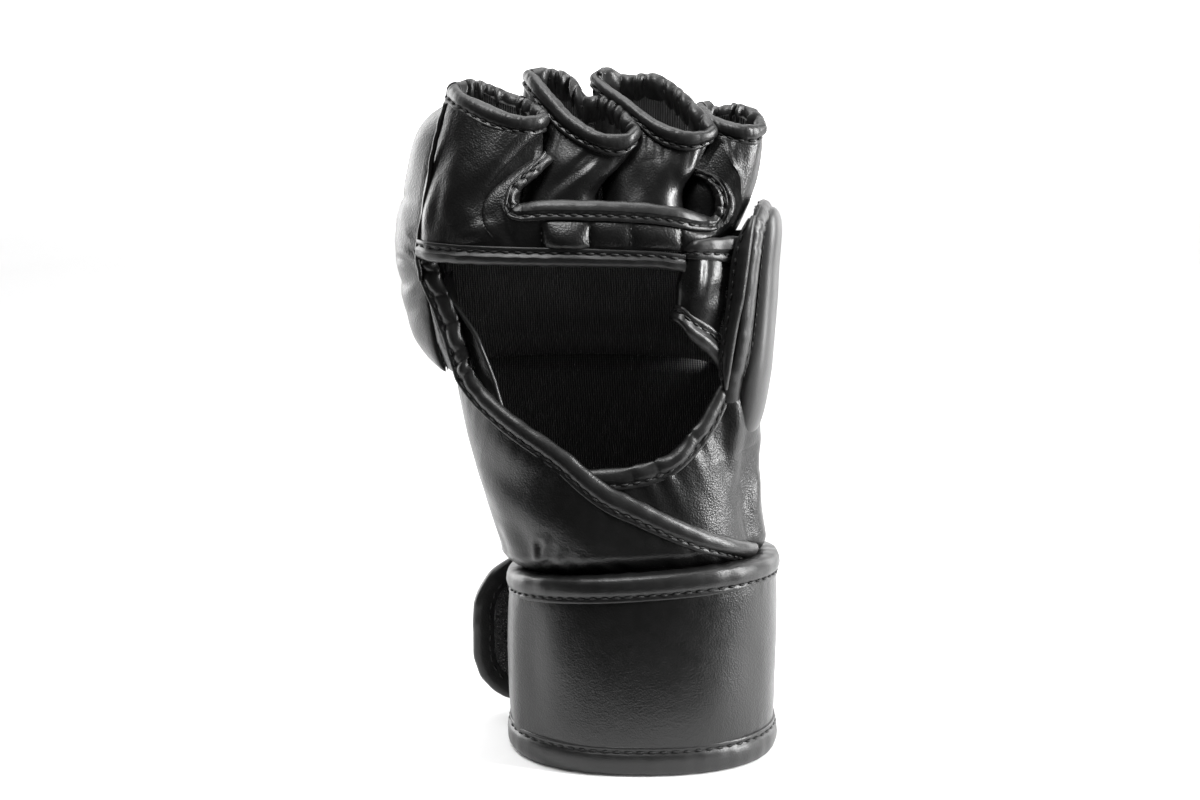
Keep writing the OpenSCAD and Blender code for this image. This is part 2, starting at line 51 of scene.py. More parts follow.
def pw(c):
    return np.sign(c) * np.abs(c) ** (2 / 2.25)


def oval(a, b, ang):
    r = np.radians(ang)
    return a * pw(np.cos(r)), b * pw(np.sin(r))


def along(lst, t):
    """Smooth curve through the listed points; t from 0 to 1, any shape."""
    P = np.asarray(lst, float)
    P = P.reshape(len(P), -1)
    n = len(P) - 1
    t = np.asarray(t, float)
    s = np.clip(np.floor(t * n).astype(int), 0, n - 1)
    f = (t * n - s)[..., None]
    a, b, c, d = P[np.maximum(0, s - 1)], P[s], P[s + 1], P[np.minimum(n, s + 2)]
    return 0.5 * (2 * b + (c - a) * f + (2 * a - 5 * b + 4 * c - d) * f ** 2
                  + (3 * b - a - 3 * c + d) * f ** 3)


def smooth(a, b, x):
    t = np.clip((np.asarray(x, float) - a) / (b - a), 0, 1)
    return t * t * (3 - 2 * t)


def unit(v):
    return v / np.maximum(np.linalg.norm(v, axis=-1, keepdims=True), 1e-9)


def rnd(seed):
    return np.random.RandomState(seed)


def wob1(s, period, seed, sharp=0.0):
    """Smooth one-dimensional unevenness, about -1 to 1."""
    r = rnd(seed)
    y = np.zeros_like(np.asarray(s, float))
    for k in range(5):
        f = (0.6 + 0.9 * r.rand()) / period
        y = y + np.sin(2 * np.pi * (f * s + r.rand())) * (0.5 + 0.5 * r.rand())
    y = y / 2.2
    return np.sign(y) * np.abs(y) ** (1 - sharp) if sharp else y


def wob3(P, period, seed):
    """Smooth unevenness in space, about -1 to 1."""
    r = rnd(seed)
    y = np.zeros(P.shape[:-1])
    for k in range(7):
        d = r.randn(3)
        d /= np.linalg.norm(d)
        f = (0.6 + 0.9 * r.rand()) / period
        y = y + np.sin(2 * np.pi * (f * (P @ d) + r.rand()))
    return y / 3.0


def seg_dist(P, a, b):
    a, b = np.asarray(a, float), np.asarray(b, float)
    d = b - a
    t = np.clip(((P - a) @ d) / (d @ d), 0, 1)
    return np.linalg.norm(P - (a + t[..., None] * d), axis=-1), t


def folds(P, items):
    """Sum of folds: (start, end, width, height). Height below 0 is a crease, above 0 a ridge."""
    out = np.zeros(P.shape[:-1])
    for a, b, w, h in items:
        d, t = seg_dist(P, a, b)
        ends = np.sin(np.pi * np.clip(t, 0.02, 0.98)) ** 0.5
        out += h * np.exp(-(d / w) ** 2) * ends
        out -= 0.45 * h * np.exp(-((d - 1.7 * w) / (0.8 * w)) ** 2) * ends
    return out


# ------------------------------------------------------------------ materials
def new_mat(name):
    m = bpy.data.materials.new(name)
    m.use_nodes = True
    nt = m.node_tree
    nt.nodes.clear()
    out = nt.nodes.new("ShaderNodeOutputMaterial")
    b = nt.nodes.new("ShaderNodeBsdfPrincipled")
    nt.links.new(b.outputs["BSDF"], out.inputs["Surface"])
    return m, nt, b


def node(nt, kind, **kw):
    n = nt.nodes.new(kind)
    for k, v in kw.items():
        setattr(n, k, v)
    return n


def coords(nt, scale=(1, 1, 1)):
    tc = node(nt, "ShaderNodeTexCoord")
    mp = node(nt, "ShaderNodeMapping")
    mp.inputs["Scale"].default_value = scale
    nt.links.new(tc.outputs["Object"], mp.inputs["Vector"])
    return mp.outputs["Vector"]


def noise(nt, vec, scale, detail=4.0, rough=0.55):
    n = node(nt, "ShaderNodeTexNoise")
    n.inputs["Scale"].default_value = scale
    n.inputs["Detail"].default_value = detail
    n.inputs["Roughness"].default_value = rough
    nt.links.new(vec, n.inputs["Vector"])
    return n.outputs["Fac"]


def ramp(nt, fac, stops):
    r = node(nt, "ShaderNodeValToRGB")
    els = r.color_ramp.elements
    while len(els) < len(stops):
        els.new(0.5)
    for e, (p, c) in zip(els, stops):
        e.position = p
        e.color = (*c, 1) if hasattr(c, "__len__") else (c, c, c, 1)
    nt.links.new(fac, r.inputs["Fac"])
    return r.outputs["Color"]


def math_node(nt, op, a, b=None):
    n = node(nt, "ShaderNodeMath", operation=op)
    for k, v in enumerate([a, b]):
        if v is None:
            continue
        if isinstance(v, (int, float)):
            n.inputs[k].default_value = v
        else:
            nt.links.new(v, n.inputs[k])
    return n.outputs[0]


def bump(nt, height, dist, strength, prev=None):
    b = node(nt, "ShaderNodeBump")
    b.inputs["Distance"].default_value = dist
    b.inputs["Strength"].default_value = strength
    nt.links.new(height, b.inputs["Height"])
    if prev is not None:
        nt.links.new(prev, b.inputs["Normal"])
    return b.outputs["Normal"]


def leather(name, dark, light, rough, grain=1.0, soft=1.0):
    """Fine-grained synthetic leather: pebbles about 0.6 mm across over a soft, slow unevenness."""
    m, nt, b = new_mat(name)
    v = coords(nt)
    big = noise(nt, v, 22, 3)
    mid = noise(nt, v, 260, 4)
    fine = noise(nt, v, 2600, 3, 0.6)
    vo = node(nt, "ShaderNodeTexVoronoi")
    vo.inputs["Scale"].default_value = 1500
    nt.links.new(v, vo.inputs["Vector"])
    mix = math_node(nt, "ADD", math_node(nt, "MULTIPLY", big, 0.65), math_node(nt, "MULTIPLY", mid, 0.35))
    nt.links.new(ramp(nt, mix, [(0.3, dark), (0.72, light)]), b.inputs["Base Color"])
    nt.links.new(math_node(nt, "ADD", math_node(nt, "MULTIPLY", mid, 0.16), rough - 0.08), b.inputs["Roughness"])
    n1 = bump(nt, big, 0.0012 * soft, 0.35)
    n2 = bump(nt, mid, 0.00022 * soft, 0.5, n1)
    n3 = bump(nt, vo.outputs["Distance"], 0.00014, 0.60 * grain, n2)
    n4 = bump(nt, fine, 0.00003, 0.4 * grain, n3)
    nt.links.new(n4, b.inputs["Normal"])
    b.inputs["IOR"].default_value = 1.5
    b.inputs["Coat Weight"].default_value = 0.12
    b.inputs["Coat Roughness"].default_value = 0.32
    return m


def ribbed(name, dark, light, period, slant=0.0):
    """Knitted lining with fine upright ribs."""
    m, nt, b = new_mat(name)
    v = coords(nt)
    sep = node(nt, "ShaderNodeSeparateXYZ")
    nt.links.new(v, sep.inputs[0])
    x = math_node(nt, "ADD", sep.outputs["X"], math_node(nt, "MULTIPLY", sep.outputs["Z"], slant))
    wobble = math_node(nt, "MULTIPLY", noise(nt, v, 60, 2), 0.0009)
    x = math_node(nt, "ADD", x, wobble)
    rib = math_node(nt, "SINE", math_node(nt, "MULTIPLY", x, 2 * math.pi / period))
    rib = math_node(nt, "ADD", math_node(nt, "MULTIPLY", rib, 0.5), 0.5)
    knit = math_node(nt, "SINE", math_node(nt, "MULTIPLY", sep.outputs["Z"], 2 * math.pi / (period * 0.8)))
    knit = math_node(nt, "ADD", math_node(nt, "MULTIPLY", knit, 0.5), 0.5)
    fuzz = noise(nt, v, 1800, 4, 0.7)
    h = math_node(nt, "ADD", math_node(nt, "MULTIPLY", rib, 0.62),
                  math_node(nt, "ADD", math_node(nt, "MULTIPLY", knit, 0.14), math_node(nt, "MULTIPLY", fuzz, 0.24)))
    nt.links.new(ramp(nt, h, [(0.2, dark), (0.85, light)]), b.inputs["Base Color"])
    b.inputs["Roughness"].default_value = 0.72
    b.inputs["Sheen Weight"].default_value = 0.35
    b.inputs["Sheen Roughness"].default_value = 0.5
    b.inputs["Specular IOR Level"].default_value = 0.3
    n = bump(nt, h, 0.00035, 0.9)
    nt.links.new(n, b.inputs["Normal"])
    return m


def fuzzy(name, dark, light, scale):
    """Hook or loop tape."""
    m, nt, b = new_mat(name)
    v = coords(nt)
    f = noise(nt, v, scale, 6, 0.75)
    nt.links.new(ramp(nt, f, [(0.35, dark), (0.7, light)]), b.inputs["Base Color"])
    b.inputs["Roughness"].default_value = 0.85
    b.inputs["Sheen Weight"].default_value = 0.5
    b.inputs["Specular IOR Level"].default_value = 0.25
    nt.links.new(bump(nt, f, 0.0006, 0.9), b.inputs["Normal"])
    return m


def thread(name, dark, light):
    m, nt, b = new_mat(name)
    v = coords(nt)
    f = noise(nt, v, 3000, 3, 0.6)
    w = node(nt, "ShaderNodeTexWave")
    w.inputs["Scale"].default_value = 900
    w.inputs["Distortion"].default_value = 1.5
    nt.links.new(v, w.inputs["Vector"])
    h = math_node(nt, "ADD", math_node(nt, "MULTIPLY", w.outputs["Fac"], 0.6), math_node(nt, "MULTIPLY", f, 0.4))
    nt.links.new(ramp(nt, h, [(0.2, dark), (0.8, light)]), b.inputs["Base Color"])
    b.inputs["Roughness"].default_value = 0.6
    nt.links.new(bump(nt, h, 0.0001, 0.6), b.inputs["Normal"])
    return m


M_LEATHER = leather("leather_satin", 0.003, 0.0065, 0.34)
M_GLOSS = leather("leather_stretched", 0.003, 0.006, 0.29, grain=0.45, soft=0.8)
M_BIND = leather("binding_leather", 0.007, 0.013, 0.39, grain=0.5, soft=0.8)
# thumb pad leather: a little lighter than the rest, raised much further as painted highlight for the glare on the pad
M_THUMB_PAINTED_GLARE = leather("thumb_pad_leather_painted_glare", 0.035, 0.055, 0.42, grain=0.35, soft=0.6)
M_LINING = ribbed("lining_ribbed", 0.008, 0.050, 0.00105, 0.06)
# palm hollow lining: the same ribbed lining made much lighter (0.05 to 0.30), painted light standing in for light that
# does not reach into the hollow
M_PALM_LINING_PAINTED_LIGHT = ribbed("palm_hollow_ribbed_painted_light", 0.05, 0.30, 0.00085, 0.06)
# near-black copy of the lining for the insides of the stalls, the strap and the bar padding: painted shade for these
# hollows
M_INNER_PAINTED_SHADE = ribbed("lining_plain_painted_shade", 0.002, 0.006, 0.0008, 0.0)
M_HOOK = fuzzy("hook_tape", 0.002, 0.018, 900)
M_PILE = fuzzy("loop_tape", 0.003, 0.02, 1500)
M_THREAD = thread("stitch_thread", 0.0015, 0.006)


def make(name, verts, faces, mats, angle=50, face_mat=None):
    me = bpy.data.meshes.new(name)
    me.from_pydata((np.asarray(verts, float) * 0.001).tolist(), [], [list(map(int, f)) for f in faces])
    me.validate()
    mats = mats if isinstance(mats, (list, tuple)) else [mats]
    for m in mats:
        me.materials.append(m)
    if face_mat is not None and len(face_mat) == len(me.polygons):
        me.polygons.foreach_set("material_index", np.asarray(face_mat, np.int32))
    me.polygons.foreach_set("use_smooth", np.ones(len(me.polygons), bool))
    me.set_sharp_from_angle(angle=math.radians(angle))
    me.update()
    ob = bpy.data.objects.new(name, me)
    bpy.context.scene.collection.objects.link(ob)
    return ob


def normals(G, closed=False, sign=1.0):
    if closed:
        du = np.roll(G, -1, 1) - np.roll(G, 1, 1)
    else:
        du = np.gradient(G, axis=1)
    dv = np.gradient(G, axis=0)
    return sign * unit(np.cross(du, dv))


def slab_faces(nv, nu, closed):
    m = nu if closed else nu - 1
    j, i = np.meshgrid(np.arange(nv - 1), np.arange(m), indexing="ij")
    j, i = j.ravel(), i.ravel()
    k = (i + 1) % nu
    a, b, c, d = j * nu + i, j * nu + k, (j + 1) * nu + k, (j + 1) * nu + i
    o = nv * nu
    front = np.stack([a, b, c, d], 1)
    back = np.stack([a + o, d + o, c + o, b + o], 1)
    i = np.arange(m)
    k = (i + 1) % nu
    t = (nv - 1) * nu
    rim = [np.stack([i, i + o, k + o, k], 1), np.stack([t + i, t + k, t + k + o, t + i + o], 1)]
    if not closed:
        j = np.arange(nv - 1)
        a, b = j * nu, (j + 1) * nu
        rim += [np.stack([a, b, b + o, a + o], 1),
                np.stack([a + nu - 1, a + nu - 1 + o, b + nu - 1 + o, b + nu - 1], 1)]
    return front, back, np.concatenate(rim)


def skin(name, outer, inner, mats, closed=False, flip=False):
    """A closed sheet between two grids of points. The first material is the outside, the second the inside."""
    nv, nu = outer.shape[:2]
    f, b, r = slab_faces(nv, nu, closed)
    faces = np.concatenate([f, b, r])
    if flip:
        faces = faces[:, ::-1]
    fm = np.concatenate([np.zeros(len(f)), np.ones(len(b)), np.zeros(len(r))]).astype(int)
    mats = mats if isinstance(mats, (list, tuple)) else [mats]
    if len(mats) == 1:
        fm[:] = 0
    V = np.concatenate([outer.reshape(-1, 3), inner.reshape(-1, 3)])
    return make(name, V, faces, list(mats), face_mat=fm)


def tube(path, r, n=8, closed=False, N=None, squash=1.0):
    """Vertices and faces of a round or flattened tube along a path."""
    path = np.asarray(path, float)
    m = len(path)
    T = unit(np.roll(path, -1, 0) - np.roll(path, 1, 0)) if closed else unit(np.gradient(path, axis=0))
    if N is None:
        ref = np.array([0.0, -1.0, 0.2])
        N = unit(ref - (T @ ref)[:, None] * T)
    B = np.cross(T, N)
    q = np.linspace(0, 2 * np.pi, n, endpoint=False)
    rr = np.broadcast_to(np.asarray(r, float), (m,))[:, None, None]
    V = path[:, None] + rr * (np.cos(q)[None, :, None] * N[:, None] * squash + np.sin(q)[None, :, None] * B[:, None])
    faces = ring_faces(m, n, closed)
    return V.reshape(-1, 3), faces


def ring_faces(m, n, closed):
    f = []
    k = m if closed else m - 1
    j, i = np.meshgrid(np.arange(k), np.arange(n), indexing="ij")
    j, i = j.ravel(), i.ravel()
    jn, inn = (j + 1) % m, (i + 1) % n
    f = np.stack([j * n + i, j * n + inn, jn * n + inn, jn * n + i], 1).tolist()
    if not closed:
        f.append(list(range(n))[::-1])
        f.append([(m - 1) * n + q for q in range(n)])
    return f


def join(parts):
    V, F, o = [], [], 0
    for v, f in parts:
        V.append(np.asarray(v, float))
        F += [[int(x) + o for x in q] for q in f]
        o += len(v)
    return np.concatenate(V), F


def stitch(c, T, N, L=2.7, r=0.42):
    """One sewn stitch: a short rounded bar that dips into the leather at both ends."""
    s = np.linspace(-0.5, 0.5, 6)
    p = c + np.outer(s * L, T) + np.outer(0.30 * np.cos(np.pi * s) - 0.12, N)
    rad = r * np.sqrt(np.clip(1 - (2 * s) ** 4, 0.12, 1))
    return tube(p, rad, 6, N=np.repeat(N[None], 6, 0), squash=0.7)


def stitches(P, N, pitch=4.2, L=2.7, r=0.42, closed=False, seed=1, s0=2.0):
    """Stitches along a row of points with the surface's normals."""
    d = np.linalg.norm(np.diff(P, axis=0), axis=1)
    s = np.concatenate([[0], np.cumsum(d)])
    total = s[-1]
    n = max(1, int(round((total - 2 * s0) / pitch)))
    g = rnd(seed)
    out = []
    for k in range(n):
        q = s0 + (k + 0.5) * (total - 2 * s0) / n
        c = np.array([np.interp(q, s, P[:, i]) for i in range(3)])
        c2 = np.array([np.interp(min(total, q + 1), s, P[:, i]) for i in range(3)])
        c1 = np.array([np.interp(max(0, q - 1), s, P[:, i]) for i in range(3)])
        nn = unit(np.array([np.interp(q, s, N[:, i]) for i in range(3)]))
        T = unit(c2 - c1)
        side = np.cross(nn, T)
        T = unit(T + side * (0.06 * g.randn()))
        out.append(stitch(c, T, nn, L * (1 + 0.06 * g.randn()), r))
    return out


def gather(n, count, seed, closed=True):
    """Cloth drawn together: round ridges of uneven width with sharp valleys between them, 0 to 1."""
    g_ = rnd(seed)
    w_ = 0.45 + g_.rand(count)
    w_ = np.concatenate([[0], np.cumsum(w_ / w_.sum())])
    a_ = 0.35 + 0.65 * g_.rand(count)
    s_ = np.arange(n) / n if closed else np.linspace(0, 0.9999, n)
    k_ = np.clip(np.searchsorted(w_, s_, side="right") - 1, 0, count - 1)
    t_ = (s_ - w_[k_]) / (w_[k_ + 1] - w_[k_])
    y = a_[k_] * np.sin(np.pi * t_) ** 0.7
    return 0.25 * np.roll(y, 1) + 0.5 * y + 0.25 * np.roll(y, -1) if closed else y


# Outline of a folded edge binding: (distance in from the edge, height above the surface).
def profile(W, t, roll=1.0, back=None):
    ws = W - 1.9
    back = W if back is None else back
    front = [(W, -0.5), (W, 0.25), (W - 0.25, 0.5), (W - 0.9, 0.55), (ws + 0.45, 0.42), (ws + 0.1, 0.14), (ws - 0.3, 0.2),
             (ws - 0.75, 0.75 * roll), (ws - 1.7, 1.15 * roll), (W * 0.45, 1.35 * roll), (W * 0.25, 1.2 * roll),
             (W * 0.1, 0.7 * roll), (-0.15, -0.1), (-0.45, -t * 0.5), (-0.15, -t + 0.1), (W * 0.1, -t - 0.6 * roll),
             (W * 0.3, -t - 0.95 * roll), (back * 0.6, -t - 0.8 * roll), (back - 0.8, -t - 0.45), (back, -t - 0.35),
             (back, -t + 0.5)]
    return np.array(front), ws


def binding(name, at, n, W, t, mats, body=None, roll=1.0, closed=False, pucker=None, seed=3, back=None,
            sew=True, pitch=4.2, edge_wob=0.15, s0=2.0, period=4.6):
    """Edge binding along the stations that at() returns; n is not used. at(w) gives (points, normals) at distance w in
    from the edge.
    """
    prof, ws = profile(W, t, roll, back)
    P0, N0 = at(0.0)
    step = np.linalg.norm(np.diff(P0, axis=0), axis=1)
    s = np.concatenate([[0], np.cumsum(step)])
    pk = np.zeros(len(s)) if pucker is None else np.asarray(pucker(s), float)
    soft = wob1(s, 9.0, seed)
    gn = max(4, int(s[-1] / period))
    g1 = 1.5 * gather(len(s), gn, seed + 1, False) - 0.6
    g2 = 1.5 * gather(len(s), gn, seed + 1, False) - 0.6
    rows = []
    Pm, _ = at(1.0)
    Wdir = unit(Pm - P0)
    for w, h in prof:
        ww = max(w, 0.0)
        P, N = at(ww)
        mid = np.sin(np.pi * np.clip(w / W, 0, 1)) if h > 0 else np.sin(np.pi * np.clip(w / W + 0.25, 0, 1))
        dn = h + (0.12 * soft + pk * (1.15 * g1 - 0.35)) * mid * (1 if h > 0 else -1)
        dw = (w - ww) + (edge_wob * soft - pk * 0.9 * np.abs(g2)) * (1 - np.clip(w / W, 0, 1)) * -1
        rows.append(P + N * dn[:, None] + Wdir * dw[:, None])
    V = np.stack(rows, 1)
    m, k = V.shape[:2]
    faces = ring_faces(m, k, closed)
    ob = make(name, V.reshape(-1, 3), faces, mats, angle=70)
    if body:
        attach(ob, body)
    if sew:
        P, N = at(ws + 0.05)
        dn = 0.42
        if closed:
            P, N = np.concatenate([P, P[:1]]), np.concatenate([N, N[:1]])
        st = stitches(P + N * dn, N, pitch, seed=seed, s0=0.0 if closed else s0)
        v, f = join(st)
        so = make(name + "_stitches", v, f, M_THREAD, angle=80)
        if body:
            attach(so, body)
        return ob, so
    return ob, None


def blend_all(obs, a, b, s, e):
    for o in obs:
        if o is not None:
            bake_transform(o)


# ------------------------------------------------------------------ wrist strap
def z_top(x, y):
    return STRAP_H + 0.0699 * x - 0.1 * y


def cuff_at(ang, z, d=0.0):
    """Outer face of the cuff at an angle and height, moved out by d."""
    x, y = oval(CA + d, CB + d, ang)
    return np.stack(np.broadcast_arrays(x, y, z), -1)


def radial(ang):
    e = 0.4
    a, b = cuff_at(ang - e, 0.0), cuff_at(ang + e, 0.0)
    t = unit(b - a)
    return np.stack([t[..., 1], -t[..., 0], 0 * t[..., 0]], -1)


WT, WB = 8.8, 10.4


def strap_bulge(ang, z, zt):
    v = np.clip((z - WB) / (zt - WT - WB), 0, 1)
    b = 0.9 * np.sin(np.pi * v) ** 0.5
    P = np.stack(np.broadcast_arrays(ang * 0.75, z, 0 * z), -1)
    b = b + 0.35 * wob3(P, 46, 11) + 0.04 * wob3(P, 16, 12)
    # a soft upright dent on the palm side near the little finger, and one near the thumb
    b = b - 0.8 * np.exp(-((ang - 219) / 9.0) ** 2) * np.sin(np.pi * v) + 0.5 * np.exp(-((ang - 203) / 8.0) ** 2)
    b = b - 0.45 * np.exp(-((ang - 322) / 12.0) ** 2) * np.sin(np.pi * v)
    # tension lines below the top binding and above the lower one
    b = b + 0.05 * wob1(ang * 0.75, 8.0, 13) * (np.exp(-(zt - WT - z) / 4.0) + np.exp(-(z - WB) / 4.0))
    return b * (1 - 0.6 * (1 - smooth(172, 184, ang)))


def strap_piece(name, a0, a1, ride=None, blend=None, t=ST):
    n = int((a1 - a0) / 0.8) + 1
    ang = np.linspace(a0, a1, n)
    xo, yo = oval(CA, CB, ang)
    zt = z_top(xo, yo)
    nv = 46
    G, H = [], []
    for j in range(nv):
        z = WB - 1.2 + (zt - WT - WB + 2.4) * j / (nv - 1)
        d = strap_bulge(ang, z, zt)
        G.append(cuff_at(ang, z, 0) + radial(ang) * d[:, None])
        H.append(cuff_at(ang, z, -t))
    # the strap's inner face uses the near-black lining, painted shade
    ob = skin(name, np.array(G), np.array(H), [M_LEATHER, M_INNER_PAINTED_SHADE])

    def top(w):
        z = zt - w
        return cuff_at(ang, z, 0) + radial(ang) * 0.0, radial(ang)

    def base(w):
        z = np.full_like(ang, 0.45 + w)
        return cuff_at(ang, z, 0), radial(ang)

    pk = None
    b1 = binding(name + "_top_binding", top, n, WT, t, M_BIND, seed=21, back=7.5)
    b2 = binding(name + "_base_binding", base, n, WB, t, M_BIND, seed=31, back=8.0)
    obs = [ob, *b1, *b2]
    for o in obs:
        if o is None:
            continue
        if ride:
            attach(o, ride)
    if blend:
        blend_all(obs, *blend)
    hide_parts("strap_anchor_top_binding", "strap_wrap_top_binding")
    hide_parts("strap_anchor_base_binding", "strap_wrap_base_binding")
    return ob


front = strap_piece("strap_leather", 188, 471, blend=("glove", "strap_wrap", (46, 8, 35), (44, 24, 35)))
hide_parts("strap_anchor_shell", "strap_anchor_foam", "strap_anchor_lining",
            "strap_wrap_shell", "strap_wrap_foam", "strap_wrap_lining")
backp = strap_piece("strap_leather_end", 130, 188, ride="glove")

# upright ends of the strap, bound like its long edges
for nm, ang0, body in (("strap_wrap_end_cap", 471, "strap_wrap"), ("strap_anchor_end_cap", 130, "glove")):
    zz = np.linspace(1.5, float(z_top(*oval(CA, CB, ang0))) - 1.5, 40)
    P = cuff_at(np.full(40, float(ang0)), zz, -ST / 2)
    v, f = tube(P, 3.1, 12, N=np.repeat(radial(np.array([float(ang0)])), 40, 0), squash=1.12)
    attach(make(nm, v, f, M_BIND, 80), body)

# loop pile that the hooks grip
ang = np.linspace(135, 170, 45)
zz = np.linspace(10.2, 51.8, 40)
G = np.array([cuff_at(ang, z, 1.35) for z in zz])
G = G + normals(G, sign=1)[..., :] * (0.22 * wob3(G, 2.3, 5))[..., None]
H = np.array([cuff_at(ang, z, -0.6) for z in zz])
pile = skin("loop_pile", G, H, M_PILE)
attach(pile, "glove")
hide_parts("loop_panel")

# ------------------------------------------------------------------ free tab
TAB_Z0, TAB_Z1, TAB_END, TAB_R = 4.0, 61.0, -63.0, 22.0
root = oval(CA, CB, 112.6)
tab_line = [[-10.0, 38.9], [-16.0, 38.3], [-22.0, 37.4], [-29.0, 36.3], [-37.0, 34.9], [-46.0, 32.4], [-55.0, 29.4], [-63.2, 26.0]]
_q = np.linspace(0, 1, 400)
_tl = along(tab_line, _q)
_ts = np.concatenate([[0], np.cumsum(np.linalg.norm(np.diff(_tl, axis=0), axis=1))])
TAB_L = _ts[-1]


def tab_pt(s, z, d=0.0):
    """Outer face of the tab: s is the distance along it from its root, d is outwards."""
    s = np.asarray(s, float)
    q = np.interp(s, _ts, _q)
    p = along(tab_line, q)
    t = unit(along(tab_line, np.minimum(1, q + 0.01)) - along(tab_line, np.maximum(0, q - 0.01)))
    n = np.stack([t[..., 1], -t[..., 0]], -1)
    n = n * np.where(n[..., 1:2] < 0, -1, 1)
    p = p + n * np.asarray(d)[..., None]
    curl = 0.0
    return np.stack(np.broadcast_arrays(p[..., 0], p[..., 1] + curl, z), -1), np.stack([n[..., 0], n[..., 1], 0 * n[..., 0]], -1)


def tab_outline(w, n=260):
    """Edge of the tab from its root along the base, round the end and back along the top, w in from the edge."""
    L, z0, z1, r = TAB_L, TAB_Z0, TAB_Z1, TAB_R
    pts = [(0, z0), (L - r, z0)]
    for q in np.linspace(-90, 0, 30):
        pts.append((L - r + r * math.cos(math.radians(q)), z0 + r + r * math.sin(math.radians(q))))
    for q in np.linspace(0, 90, 30):
        pts.append((L - r + r * math.cos(math.radians(q)), z1 - r + r * math.sin(math.radians(q))))
    pts.append((0, z1))
    P = np.array(pts)
    d = np.concatenate([[0], np.cumsum(np.linalg.norm(np.diff(P, axis=0), axis=1))])
    q = np.linspace(0, d[-1], n)
    P = np.stack([np.interp(q, d, P[:, 0]), np.interp(q, d, P[:, 1])], 1)
    T = unit(np.gradient(P, axis=0))
    k = 7
    T = unit(np.stack([np.convolve(np.pad(T[:, i], k, mode="edge"), np.ones(2 * k + 1) / (2 * k + 1), "valid") for i in range(2)], 1))
    IN = np.stack([-T[:, 1], T[:, 0]], 1)
    return P + IN * w


TT = 3.0


def tab_edge(w):
    p = tab_outline(w)
    P, N = tab_pt(p[:, 0], p[:, 1], 0.0)
    return P, N


def tab_body(z0, z1, s0, s1, inset, nu=60, nv=50):
    """Grid of (s, z) that fills the rounded tab shape, inset from its edge."""
    L, r = TAB_L, TAB_R
    S = np.linspace(s0, s1, nu)
    rows = []
    for j in range(nv):
        f = j / (nv - 1)
        over = np.clip(S - (L - r), 0, r - inset)
        half = np.where(S > L - r, (r - inset) * np.sqrt(np.clip(1 - (over / (r - inset)) ** 2, 0, 1)) - (r - inset), 0)
        lo = TAB_Z0 + inset - half
        hi = TAB_Z1 - inset + half
        rows.append(np.stack([S, lo + (hi - lo) * f], -1))
    return np.array(rows)


sz = tab_body(0, 0, 0.0, TAB_L - 6.6, 6.6)
bulge = 0.5 * np.sin(np.pi * np.linspace(0, 1, sz.shape[0]))[:, None] * np.ones(sz.shape[1])[None]
Po, No = tab_pt(sz[..., 0], sz[..., 1], 0.15 + bulge)
Pi, _ = tab_pt(sz[..., 0], sz[..., 1], -TT + 0.6)
Po = Po + No * (0.12 * wob3(Po, 14, 41))[..., None]
tab_l = skin("tab_leather", Po, Pi, [M_LEATHER, M_LEATHER], flip=True)
tab_b, tab_s = binding("tab_binding", tab_edge, 260, 7.4, TT, M_BIND, seed=43, roll=0.75)
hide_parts("strap_tab_shell")
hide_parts("strap_tab_binding")
# the same stitch row seen from the hook side
Pn, Nn = tab_edge(5.6)
v, f = join(stitches(Pn - Nn * (TT + 0.55), -Nn, 4.2, seed=47))
tab_s2 = make("tab_binding_inner_stitches", v, f, M_THREAD, 80)
# hook patch on the inner face
hz = tab_body(0, 0, 30.0, TAB_L - 7.6, 7.6, 70, 60)
Ph, Nh = tab_pt(hz[..., 0], hz[..., 1], -TT - 0.15)
Ph = Ph + Nh * (0.25 * wob3(Ph, 1.9, 51))[..., None]
Pk, _ = tab_pt(hz[..., 0], hz[..., 1], -TT + 0.8)
hook = skin("hook_patch", Ph, Pk, [M_HOOK, M_HOOK])
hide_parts("hook_pad")
g = rnd(5)
bits = []
for s_ in np.arange(31, TAB_L - 8.2, 1.25):
    over = max(0.0, s_ - (TAB_L - TAB_R))
    rr_ = TAB_R - 7.9
    half = 0 if over <= 0 else rr_ - math.sqrt(max(0.0, rr_ ** 2 - over ** 2))
    for z_ in np.arange(TAB_Z0 + 8.2 + half, TAB_Z1 - 8.2 - half, 1.25):
        p, n_ = tab_pt(s_ + 0.3 * g.randn(), z_ + 0.3 * g.randn(), -TT - 0.1)
        lean = np.array([0.3 * g.randn(), 0.3 * g.randn(), 0.5 * g.randn()])
        tip = p - n_ * (0.95 + 0.3 * g.rand()) + lean
        a_ = np.array([0.0, 0.0, 0.26])
        b_ = np.cross(n_, a_)
        V_ = np.array([p + a_, p + b_, p - a_, p - b_, tip])
        bits.append((V_, [[0, 1, 4], [1, 2, 4], [2, 3, 4], [3, 0, 4], [3, 2, 1, 0]]))
v, f = join(bits)
hooks = make("hook_bristles", v, f, M_HOOK, 80)
# cross stitching where the tab is sewn to the end of the strap
box = []
for a_, b_ in (((3, 12), (3, 53)), ((12, 12), (12, 53)), ((3, 12), (12, 53)), ((3, 53), (12, 12))):
    q = np.linspace(0, 1, 40)
    s_ = a_[0] + (b_[0] - a_[0]) * q
    z_ = a_[1] + (b_[1] - a_[1]) * q
    P_, N_ = tab_pt(s_, z_, 0.62)
    box += stitches(P_, N_, 3.6, 2.4, 0.36, seed=61)
v, f = join(box)
tab_box = make("tab_box_stitches", v, f, M_THREAD, 80)
blend_all([tab_l, tab_b, tab_s, tab_s2, hook, hooks, tab_box], "strap_wrap", "strap_tab", (-15.5, 38, 35), (-27, 37, 35))

